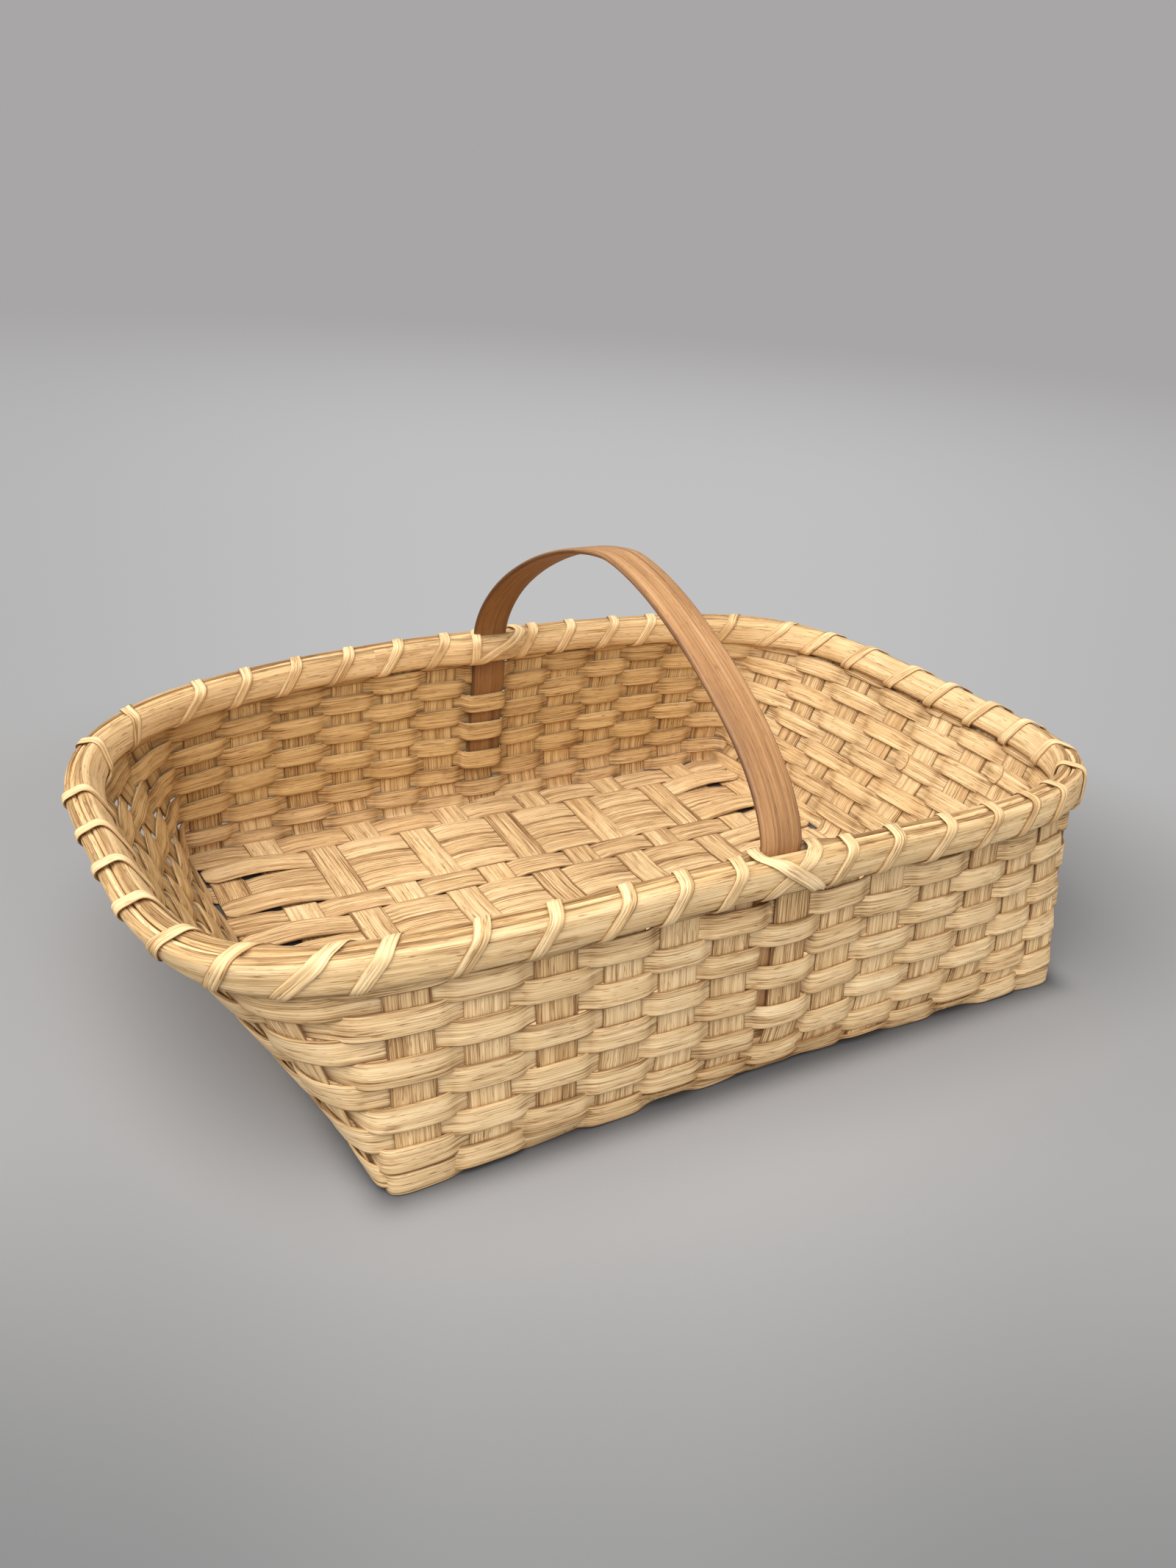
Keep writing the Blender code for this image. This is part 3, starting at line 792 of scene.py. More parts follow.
@dataclass
class Bench:
    """A material under work: its node tree and the output at its end."""

    name: str

    def __post_init__(self) -> None:
        """Start the material with its output and nothing else."""
        self.material = bpy.data.materials.new(self.name)
        self.material.use_nodes = True
        self.tree = self.material.node_tree
        self.tree.nodes.clear()
        self.output = self.tree.nodes.new("ShaderNodeOutputMaterial")

    def node(
        self, kind: str, settings: dict[str, Any], values: dict[str | int, Any], out: str | int = 0
    ) -> Wire:
        """Add a node.

        Args:
            kind: The node's type.
            settings: Its settings, with "stops" for a colour ramp.
            values: Numbers, colours or wires for its sockets.
            out: Which of its outputs is wanted.

        Returns:
            That output.
        """
        made = self.tree.nodes.new(kind)
        for name, setting in settings.items():
            if name == "stops":
                self._set_stops(made.color_ramp, setting)
            else:
                setattr(made, name, setting)
        for key, value in values.items():
            plug(self.tree, value, find_socket(made.inputs, key))
        return Wire(self.tree, find_socket(made.outputs, out))

    @staticmethod
    def _set_stops(ramp: bpy.types.ColorRamp, stops: Sequence[tuple[float, Colour]]) -> None:
        """Give a colour ramp its stops.

        Args:
            ramp: The ramp, which starts with two stops.
            stops: Place and colour of each stop.
        """
        while len(ramp.elements) < len(stops):
            ramp.elements.new(1.0)
        for element, (position, colour) in zip(ramp.elements, stops):
            element.position = position
            element.color = (*colour, 1.0)

    def split(self, vector: Wire) -> tuple[Wire, ...]:
        """The three parts of a vector."""
        made = self.node("ShaderNodeSeparateXYZ", {}, {0: vector}).socket.node
        return tuple(Wire(self.tree, socket) for socket in made.outputs)

    def dot(self, first: Any, second: Any) -> Wire:
        """Product of two vectors, how far one reaches along the other."""
        settings = {"operation": "DOT_PRODUCT"}
        return self.node("ShaderNodeVectorMath", settings, {0: first, 1: second}, "Value")

    def place(self) -> Wire:
        """The piece's own coordinates, in metres."""
        return self.node("ShaderNodeTexCoord", {}, {}, "Object")

    def marks(self) -> tuple[Wire, ...]:
        """A strip's tone, its painted shade at back and tucks, and how near its edge."""
        return self.split(self.node("ShaderNodeAttribute", {"attribute_name": "reed"}, {}, "Vector"))

    def noise(self, grain: Grain) -> Wire:
        """Noise stretched along a strip.

        Args:
            grain: The noise's size and detail.

        Returns:
            Its value, about 0.5 on average.
        """
        flat = self.node("ShaderNodeUVMap", {"uv_map": "Reed"}, {}, "UV")
        scale = (grain.along, grain.across, 1.0)
        stretched = self.node("ShaderNodeVectorMath", {"operation": "MULTIPLY"}, {0: flat, 1: scale})
        values = {"Vector": stretched, "Scale": 1.0, "Detail": grain.detail, "Roughness": grain.rough}
        return self.node("ShaderNodeTexNoise", {}, values, "Fac")

    def sway(self, grain: Grain) -> Wire:
        """Noise about zero."""
        return self.noise(grain) - NOISE_MIDDLE

    def blend(self, factor: Any, first: Any, second: Any, kind: str = "MIX") -> Wire:
        """Mix two colours.

        Args:
            factor: How much of the second colour is taken.
            first: The first colour.
            second: The second colour.
            kind: The way of mixing.

        Returns:
            The mixed colour.
        """
        values = {"Factor_Float": factor, "A_Color": first, "B_Color": second}
        return self.node("ShaderNodeMix", {"data_type": "RGBA", "blend_type": kind}, values, "Result_Color")

    def tint(self, colour: Any, layers: Sequence[tuple[Any, Colour]]) -> Any:
        """Darken a colour by tints, one after the other.

        Args:
            colour: The colour to start from.
            layers: How much there is of each tint, and the tint.

        Returns:
            The tinted colour.
        """
        for amount, tint in layers:
            colour = self.blend(amount, colour, tint, "MULTIPLY")
        return colour

    def ramp(self, shade: Wire, places: Sequence[float], colours: Sequence[Colour]) -> Wire:
        """Turn a shade into colour.

        Args:
            shade: The shade.
            places: Shades at which the colours stand.
            colours: The colours, from dark to pale.

        Returns:
            The colour.
        """
        stops = tuple(zip(places, colours))
        return self.node("ShaderNodeValToRGB", {"stops": stops}, {"Fac": shade}, "Color")

    def surface(self, colour: Any, roughness: Any, gloss: float, bump: Wire | None = None) -> Wire:
        """The surface's shader.

        Args:
            colour: Its colour.
            roughness: Its roughness.
            gloss: Its level of plain reflection, 0.5 being that of glass.
            bump: Its bent normal, if it has one.

        Returns:
            The shader.
        """
        values = {"Base Color": colour, "Roughness": roughness, "Specular IOR Level": gloss}
        if bump is not None:
            values["Normal"] = bump
        return self.node("ShaderNodeBsdfPrincipled", {}, values)

    def bump(self, strength: float, depth: float, height: Wire) -> Wire:
        """Normal bent by a height from 0 to 1, which stands for a depth in metres."""
        values = {"Strength": strength, "Distance": depth, "Height": height}
        return self.node("ShaderNodeBump", {}, values, "Normal")

    def finish(self, shader: Wire) -> bpy.types.Material:
        """Link the last shader and return the material."""
        self.tree.links.new(shader.socket, self.output.inputs["Surface"])
        return self.material


def srgb(red: float, green: float, blue: float) -> Colour:
    """Turn a screen colour into a linear one.

    Args:
        red: Red from 0 to 255.
        green: Green from 0 to 255.
        blue: Blue from 0 to 255.

    Returns:
        The linear colour, from 0 to 1.
    """
    shares = np.array((red, green, blue)) / 255
    linear = np.where(shares <= 0.04045, shares / 12.92, ((shares + 0.055) / 1.055) ** 2.4)
    return tuple(float(share) for share in linear)


@dataclass(frozen=True)
class ReedFinish:
    """Split reed: long fibres, slow bands and sparse dark flecks, and painted shade at the
    edges, on the back, where it dives under and on the walls' inner faces.

    A reach says how much something moves the shade, the tint or the roughness. A span
    is where something starts and where it is full.
    """

    name: str
    dark: Colour
    tan: Colour
    straw: Colour
    pale: Colour
    stops: tuple[float, float, float, float] = (0.12, 0.36, 0.56, 0.84)
    tone_reach: float = 0.10
    fibre: Grain = Grain(26, 1500, 3, 0.65)
    fibre_reach: float = 1.3
    band: Grain = Grain(9, 330, 2)
    band_reach: float = 0.75
    patch: Grain = Grain(16, 60, 2)
    patch_reach: float = 0.26
    edge_power: float = 8
    edge_reach: float = 0.30
    tuck_shade_reach: float = 0.14
    inner_shade_tint: Colour = (0.82, 0.75, 0.60)
    inner_span: tuple[float, float] = (0.03, 0.09)
    above_base_span: tuple[float, float] = (0.008, 0.03)
    lit_end_span: tuple[float, float] = (0.11, 0.19)
    lit_end_reach: float = 0.85
    warmth: Grain = Grain(5, 20)
    warm_span: tuple[float, float] = (0.48, 0.72)
    warm_reach: float = 0.4
    warm_tint: Colour = (0.95, 0.84, 0.70)
    vein: Grain = Grain(17, 640, 2, 0.55)
    vein_span: tuple[float, float] = (0.004, 0.026)
    vein_reach: float = 0.75
    vein_tint: Colour = (0.40, 0.27, 0.16)
    wear: Grain = Grain(60, 240)
    wear_span: tuple[float, float] = (0.42, 0.62)
    fleck: Grain = Grain(130, 1500)
    fleck_span: tuple[float, float] = (0.65, 0.70)
    fleck_reach: float = 0.7
    fleck_tint: Colour = (0.40, 0.26, 0.15)
    roughness: float = 0.7
    rough_reach: float = 0.25
    gloss: float = 0.25
    relief: float = 0.55
    relief_depth: float = 0.5 * MM
    relief_shares: tuple[float, float, float, float] = (0.8, 0.5, 0.4, -0.25)

    def inside(self, bench: Bench) -> Wire:
        """How much painted shade a place gets on the walls' inner faces.

        It is the product of three shares: the face looks at the basket's middle, it is
        above the base, and it isn't by the right end, where the light falls.

        Args:
            bench: The material under work.

        Returns:
            The share.
        """
        place = bench.place()
        x, _, z = bench.split(place)
        facing = bench.node("ShaderNodeNewGeometry", {}, {}, "Normal")
        inwards = (0.0 - bench.dot(place, facing)).over(*self.inner_span)
        lit_end = x.over(*self.lit_end_span) * self.lit_end_reach
        return inwards * z.over(*self.above_base_span) * (1.0 - lit_end)

    def build(self) -> bpy.types.Material:
        """Make the material.

        Its shade is a sum of noises on the strip's own coordinates, long along the reed
        and narrow across it, and a ramp turns the shade into colour.

        Returns:
            The material.
        """
        bench = Bench(self.name)
        tone, tucked, edge = bench.marks()
        fibres = bench.noise(self.fibre)
        bands = bench.noise(self.band)
        patches = bench.noise(self.patch)
        line = 1.0 - abs(bench.sway(self.vein)).over(*self.vein_span)
        veins = line * bench.noise(self.wear).over(*self.wear_span)
        shade = (
            NOISE_MIDDLE
            + tone * self.tone_reach
            + (fibres - NOISE_MIDDLE) * self.fibre_reach
            + (bands - NOISE_MIDDLE) * self.band_reach
            + (patches - NOISE_MIDDLE) * self.patch_reach
            # The reed's own darker edge, with painted shade added along the edges.
            - edge**self.edge_power * self.edge_reach
            # Painted shade where the reed dives under a crossing reed and on its back.
            - tucked * self.tuck_shade_reach
        )
        layers = (
            # Painted shade on the walls' inner faces.
            (self.inside(bench), self.inner_shade_tint),
            (bench.noise(self.warmth).over(*self.warm_span) * self.warm_reach, self.warm_tint),
            (veins * self.vein_reach, self.vein_tint),
            (bench.noise(self.fleck).over(*self.fleck_span) * self.fleck_reach, self.fleck_tint),
        )
        plain = bench.ramp(shade, self.stops, (self.dark, self.tan, self.straw, self.pale))
        colour = bench.tint(plain, layers)
        roughness = self.roughness + (fibres - NOISE_MIDDLE) * self.rough_reach
        fibre, band, patch, vein = self.relief_shares
        height = fibres * fibre + bands * band + patches * patch + veins * vein
        bump = bench.bump(self.relief, self.relief_depth, height)
        return bench.finish(bench.surface(colour, roughness, self.gloss, bump))


@dataclass(frozen=True)
class WoodFinish:
    """Bent hardwood: long grain, short dark pores, a worn sheen and painted shade on the far
    part of the strap.

    Reaches and spans are meant as in ReedFinish.
    """

    name: str
    dark: Colour
    brown: Colour
    light: Colour
    stops: tuple[float, float, float] = (0.20, 0.50, 0.82)
    grain: Grain = Grain(12, 620, 4, 0.62)
    grain_reach: float = 0.85
    band: Grain = Grain(5, 140, 2)
    band_reach: float = 0.30
    patch: Grain = Grain(14, 40, 2)
    patch_reach: float = 0.30
    edge_power: float = 10
    edge_reach: float = 0.25
    pore: Grain = Grain(160, 2400)
    pore_span: tuple[float, float] = (0.62, 0.70)
    pore_reach: float = 0.6
    pore_tint: Colour = (0.40, 0.28, 0.20)
    far_span: tuple[float, float] = (-0.03, 0.11)
    far_shade_reach: float = 0.85
    far_shade_tint: Colour = (0.58, 0.47, 0.30)
    roughness: float = 0.58
    rough_reach: float = 0.2
    gloss: float = 0.4
    relief: float = 0.35
    relief_depth: float = 0.4 * MM
    relief_shares: tuple[float, float] = (0.8, -0.4)

    def build(self) -> bpy.types.Material:
        """Make the material from noises stretched along the strap.

        Returns:
            The material.
        """
        bench = Bench(self.name)
        _, _, edge = bench.marks()
        _, y, _ = bench.split(bench.place())
        grain = bench.noise(self.grain)
        pores = bench.noise(self.pore)
        shade = (
            NOISE_MIDDLE
            + (grain - NOISE_MIDDLE) * self.grain_reach
            + bench.sway(self.band) * self.band_reach
            + bench.sway(self.patch) * self.patch_reach
            - edge**self.edge_power * self.edge_reach
        )
        layers = (
            (pores.over(*self.pore_span) * self.pore_reach, self.pore_tint),
            # Painted shade: the far part of the strap is darker.
            (y.over(*self.far_span) * self.far_shade_reach, self.far_shade_tint),
        )
        colour = bench.tint(bench.ramp(shade, self.stops, (self.dark, self.brown, self.light)), layers)
        roughness = self.roughness + (grain - NOISE_MIDDLE) * self.rough_reach
        height = grain * self.relief_shares[0] + pores * self.relief_shares[1]
        bump = bench.bump(self.relief, self.relief_depth, height)
        return bench.finish(bench.surface(colour, roughness, self.gloss, bump))


def is_odd(number: int) -> bool:
    """Whether a whole number is odd."""
    return number % 2 == 1


def stake_is_over(stake: int, strip: int) -> bool:
    """Whether a crosswise stake lies over a lengthwise strip of the base.

    Strips are numbered from near to far: spoke, filler, spoke and so on. The fillers
    share their side with the spoke between them, except over the last stakes, which
    their long tips cover.

    Args:
        stake: The stake's number, from 1 at the left.
        strip: The strip's number, from 0 at the near side.

    Returns:
        Whether the stake is the upper one.
    """
    if is_odd(strip):
        return is_odd(stake) and stake not in (1, STAKES)
    return is_odd(stake) != is_odd(strip // 2 + 1)


def stepped(where: Array, bounds: Array, levels: Array, softness: Array) -> Array:
    """Levels joined by soft steps: each step is half of 1 + tanh of the way past its bound.

    Args:
        where: Places along the strip.
        bounds: Where the level changes.
        levels: One level more than there are bounds.
        softness: Length of each step.

    Returns:
        The level at each place.
    """
    past = np.tanh((where[:, None] - bounds[None, :]) / softness[None, :])
    return levels[0] + (np.diff(levels)[None, :] * (1 + past) / 2).sum(axis=1)


def soften(values: Array, reach: int) -> Array:
    """Average values with their neighbours, weighed by a bell.

    Args:
        values: The values.
        reach: How many steps the bell reaches to each side.

    Returns:
        The averages.
    """
    bell = np.hanning(2 * reach + 1)
    return np.convolve(np.pad(values, reach, mode="edge"), bell / bell.sum(), mode="valid")


def tone_and_start(draw: np.random.Generator, spread: float) -> tuple[float, float]:
    """A strip's tone and the start of its grain.

    Args:
        draw: Where they are drawn from.
        spread: Standard deviation of the tone.

    Returns:
        The tone and the start.
    """
    return float(draw.normal(0, spread)), float(draw.uniform(0, GRAIN_ROOM))


@dataclass
class Ribs:
    """Stakes, spokes and fillers: the flat reeds of the base, which also stand in the walls.

    A wave is how far an offset or the length of a slow fault goes, a drift is the
    fault's height, and a step is the run over which a reed changes its level. The two
    lines of tip sizes are for the fillers in front of and beyond a spoke that lies with
    them, each for the left and the right end.
    """

    skin: Skin
    finish: bpy.types.Material
    stake_width: float = 17.2 * MM
    stake_base_width: float = 16.6 * MM
    spoke_width: float = 15.5 * MM
    thickness: float = 1.0 * MM
    top: float = 98 * MM
    stake_wave: float = 0.6 * MM
    strip_wave: float = 0.55 * MM
    stake_step: float = 0.9 * MM
    strip_step: float = 3.0 * MM
    edge_step: float = 2.5 * MM
    wall_spacing: float = 1.6 * MM
    base_spacing: float = 0.8 * MM
    bend_reach: float = 8 * MM
    climb: float = 1 * MM
    turn_start: float = 7 * MM
    turn_length: float = 32 * MM
    lean_wave: float = 60 * MM
    lean: float = 0.35 * MM
    narrow_start: float = 4 * MM
    narrow_length: float = 14 * MM
    width_wave: float = 45 * MM
    width_drift: float = 0.010
    width_spread: float = 0.1 * MM
    tone_spread: float = 0.45
    filler_reach: float = 163.5 * MM
    filler_spacing: float = 1.0 * MM
    filler_wave: float = 90 * MM
    filler_drift: float = 0.3 * MM
    tip_share: float = 0.55
    tip_length: float = 5 * MM
    tip_power: float = 0.6
    tip_start: float = 112 * MM
    tip_arch: float = 1.7 * MM
    tip_slimming: tuple[tuple[float, float], ...] = ((0.8 * MM, 0.6 * MM), (0.8 * MM, 2.6 * MM))
    tip_moves: tuple[tuple[float, float], ...] = ((0.0, 1.5 * MM), (0.8 * MM, 2.0 * MM))
    profile: Array = field(default_factory=lambda: oval(16, 14, 2.6))

    def rib(
        self,
        stations: tuple[int, int],
        axis: Array,
        bounds: Array,
        levels: Array,
        softness: float,
        width: tuple[float, float],
        seed: int,
        sway: Callable[[Array], Array] = np.zeros_like,
    ) -> Strip:
        """One reed up a wall, across the base and up the opposite wall.

        The run is counted along the axis across the base and goes on up both walls.

        Args:
            stations: Where it stands in the first and in the second wall.
            axis: Level unit vector from the first wall to the second.
            bounds: Where it changes level on the base.
            levels: Its levels between those bounds.
            softness: Length of each change of level.
            width: Its width in the walls and on the base.
            seed: Number that its small faults are drawn from.
            sway: What gives its bend to the right on the base.

        Returns:
            The strip.
        """
        draw = np.random.default_rng(seed)
        corners = [self.skin.straight(np.array(station, float), np.array(0.0)) for station in stations]
        feet = [float(corner @ axis) for corner in corners]
        wall_run = np.arange(self.top, self.bend_reach, -self.wall_spacing)
        base_run = np.arange(feet[0] - self.bend_reach, feet[1] + self.bend_reach, self.base_spacing)
        run = np.concatenate((feet[0] - wall_run, base_run, feet[1] + wall_run[::-1]))
        second = run > (feet[0] + feet[1]) / 2
        station = np.where(second, stations[1], stations[0]).astype(float)
        girth = np.where(second, run - feet[1], feet[0] - run)
        outward = np.where(second[:, None], axis, -axis)
        middle = self.skin.point(station, girth, 0.0, outward)
        side = np.array((-axis[1], axis[0], 0.0))
        ends = [float(corner @ side) for corner in corners]
        share = np.clip((run - feet[0]) / (feet[1] - feet[0]), 0, 1)
        slant = ends[0] + (ends[1] - ends[0]) * share - np.where(second, ends[1], ends[0])
        middle = middle + side * (slant - sway(run))[:, None]
        wall_forward = unit(
            self.skin.straight(station, np.maximum(girth, 0), self.skin.chord)
            - self.skin.straight(station, np.maximum(girth, 0), -self.skin.chord)
        )
        sideways = np.cross(outward, (0.0, 0.0, -1.0))
        turned = ease((girth + self.turn_start) / self.turn_length)[:, None]
        forward = unit(sideways + turned * (wall_forward - sideways))
        above = self.skin.point(station, girth + self.climb, 0.0, outward)
        below = self.skin.point(station, girth - self.climb, 0.0, outward)
        normal = unit(np.cross(forward, above - below))
        across = np.where(second[:, None], -forward, forward)
        all_bounds = np.concatenate(([feet[0]], bounds, [feet[1]]))
        all_levels = np.concatenate(([0.0], levels, [0.0]))
        steps = np.full(len(all_bounds), softness)
        steps[[0, -1]] = self.edge_step
        level = stepped(run, all_bounds, all_levels, steps)
        lean = drift(run / self.lean_wave, seed + 1) * self.lean
        middle = middle - normal * level[:, None] + across * lean[:, None]
        to_foot = np.minimum(run - feet[0], feet[1] - run)
        inwards = ease((to_foot + self.narrow_start) / self.narrow_length)
        widths = width[0] + (width[1] - width[0]) * inwards
        widths = widths * (1 + self.width_drift * drift(run / self.width_wave, seed + 2))
        widths = widths + draw.uniform(-self.width_spread, self.width_spread)
        thick = np.full(len(run), self.thickness)
        grain = tone_and_start(draw, self.tone_spread)
        return Strip(middle, across, normal, widths, thick, self.profile, *grain)

    def stake(self, number: int) -> Strip:
        """One crosswise stake, from the near rim to the far rim.

        Args:
            number: Its number, counted from the left.

        Returns:
            The strip.
        """
        bounds = STRIP_EDGES[1:-1]
        over = np.array([stake_is_over(number, strip) for strip in range(STRIPS)])
        levels = np.where(over, self.stake_wave, -self.stake_wave)
        stations = (number - 1, FAR_HANDLE + NEAR_HANDLE + 1 - number)
        axis = np.array((0.0, 1.0, 0.0))
        widths = (self.stake_width, self.stake_base_width)
        seed = Seed.STAKE + number
        sway = partial(base_sway, number)
        return self.rib(stations, axis, bounds, levels, self.stake_step, widths, seed, sway)

    def strip_levels(self, strip: int) -> tuple[Array, Array]:
        """Levels of a lengthwise strip of the base, up where a stake is under it.

        Args:
            strip: Its number, counted from the near side.

        Returns:
            Where it changes level, and its levels.
        """
        numbers = range(1, STAKES + 1)
        places = np.array([stake_place(stake, STRIP_MIDDLES[strip] * MM) for stake in numbers])
        bounds = (places[1:] + places[:-1]) / 2
        over = np.array([stake_is_over(stake, strip) for stake in numbers])
        return bounds, np.where(over, -self.strip_wave, self.strip_wave)

    def spoke(self, number: int) -> Strip:
        """One lengthwise spoke, from the left rim to the right rim.

        Args:
            number: Its number, counted from the near side.

        Returns:
            The strip.
        """
        strip = 2 * (number - 1)
        bounds, levels = self.strip_levels(strip)
        stations = (STATIONS - number, STAKES + number - 1)
        axis = np.array((1.0, 0.0, 0.0))
        widths = (self.spoke_width, STRIP_EDGES[strip + 1] - STRIP_EDGES[strip])
        return self.rib(stations, axis, bounds, levels, self.strip_step, widths, Seed.SPOKE + number)

    def filler(self, number: int) -> Strip:
        """One filler of the base, with a narrowed tip over each of the last stakes.

        Args:
            number: Its number, counted from the near side.

        Returns:
            The strip.
        """
        draw = np.random.default_rng(Seed.FILLER + number)
        strip = 2 * number - 1
        bounds, levels = self.strip_levels(strip)
        overrun = self.filler_spacing * 0.4
        x = np.arange(-self.filler_reach, self.filler_reach + overrun, self.filler_spacing)
        level = stepped(x, bounds, levels, np.full(len(bounds), self.strip_step))
        low, high = STRIP_EDGES[strip], STRIP_EDGES[strip + 1]
        beyond_spoke = int(is_odd(strip // 2))
        left_slim, right_slim = self.tip_slimming[beyond_spoke]
        left_move, right_move = self.tip_moves[beyond_spoke]
        way = (np.abs(x) - self.tip_start) / (self.filler_reach - self.tip_start)
        slim = np.where(x > 0, right_slim, left_slim) * ease(way)
        moved = np.where(x > 0, right_move, left_move) * ease(way)
        wander = drift(x / self.filler_wave, Seed.FILLER + 10 + number) * self.filler_drift
        arch = np.sin(math.pi * np.clip(way, 0, 1))
        z = self.skin.floor + level + self.tip_arch * arch**2
        middle = np.stack((x, (low + high) / 2 + moved + wander, z), axis=-1)
        across = np.broadcast_to((0.0, 1.0, 0.0), middle.shape)
        down = unit(np.cross(np.gradient(middle, axis=0), across))
        down = down * -np.sign(down[:, 2:])
        closing = np.clip((self.filler_reach - np.abs(x)) / self.tip_length, 0, 1) ** self.tip_power
        width = (high - low - slim) * (self.tip_share + (1 - self.tip_share) * closing)
        thick = np.full(len(x), self.thickness)
        grain = tone_and_start(draw, self.tone_spread)
        return Strip(middle, across, down, width, thick, self.profile, *grain)

    def build(self) -> None:
        """Make every stake, spoke and filler."""
        for number in range(1, STAKES + 1):
            made = weave_mesh(f"stake_{number:02d}", [self.stake(number)])
            hand_over(made, f"cross_stake_{number:02d}", self.finish)
        for number in range(1, SPOKES + 1):
            made = weave_mesh(f"spoke_{number}", [self.spoke(number)])
            hand_over(made, f"base_spoke_{number}", self.finish)
        for number in range(1, SPOKES):
            made = weave_mesh(f"filler_{number}", [self.filler(number)])
            hand_over(made, f"base_filler_{number}", self.finish)


@dataclass(frozen=True)
class RowPlan:
    """One weaver row, in millimetres, with its lap in stations.

    The heights are the girths of its middle in the near, right, far and left wall. The
    sway is how far it passes inside and outside the skin. The lap starts at a station
    and is as long as its number of stations.
    """

    heights: tuple[float, float, float, float]
    width: float
    thickness: float
    sway: float
    lap_start: float
    lap: float


# How far the rows lie above their wall's height at each stake of the two long walls.
NO_SAG = (0.0,) * SPOKES
SAGS = (
    (1.6, 0.7, 0.0, -1.2, -2.1, -2.8, -5.8, -3.4, -2.7, -2.6, -1.8, -1.2, 0.9),
    NO_SAG,
    (1.4, 1.0, 0.8, 0.3, 0.0, -1.0, -2.6, -0.8, -0.6, 0.0, 0.0, 0.0, -1.2),
    NO_SAG,
)


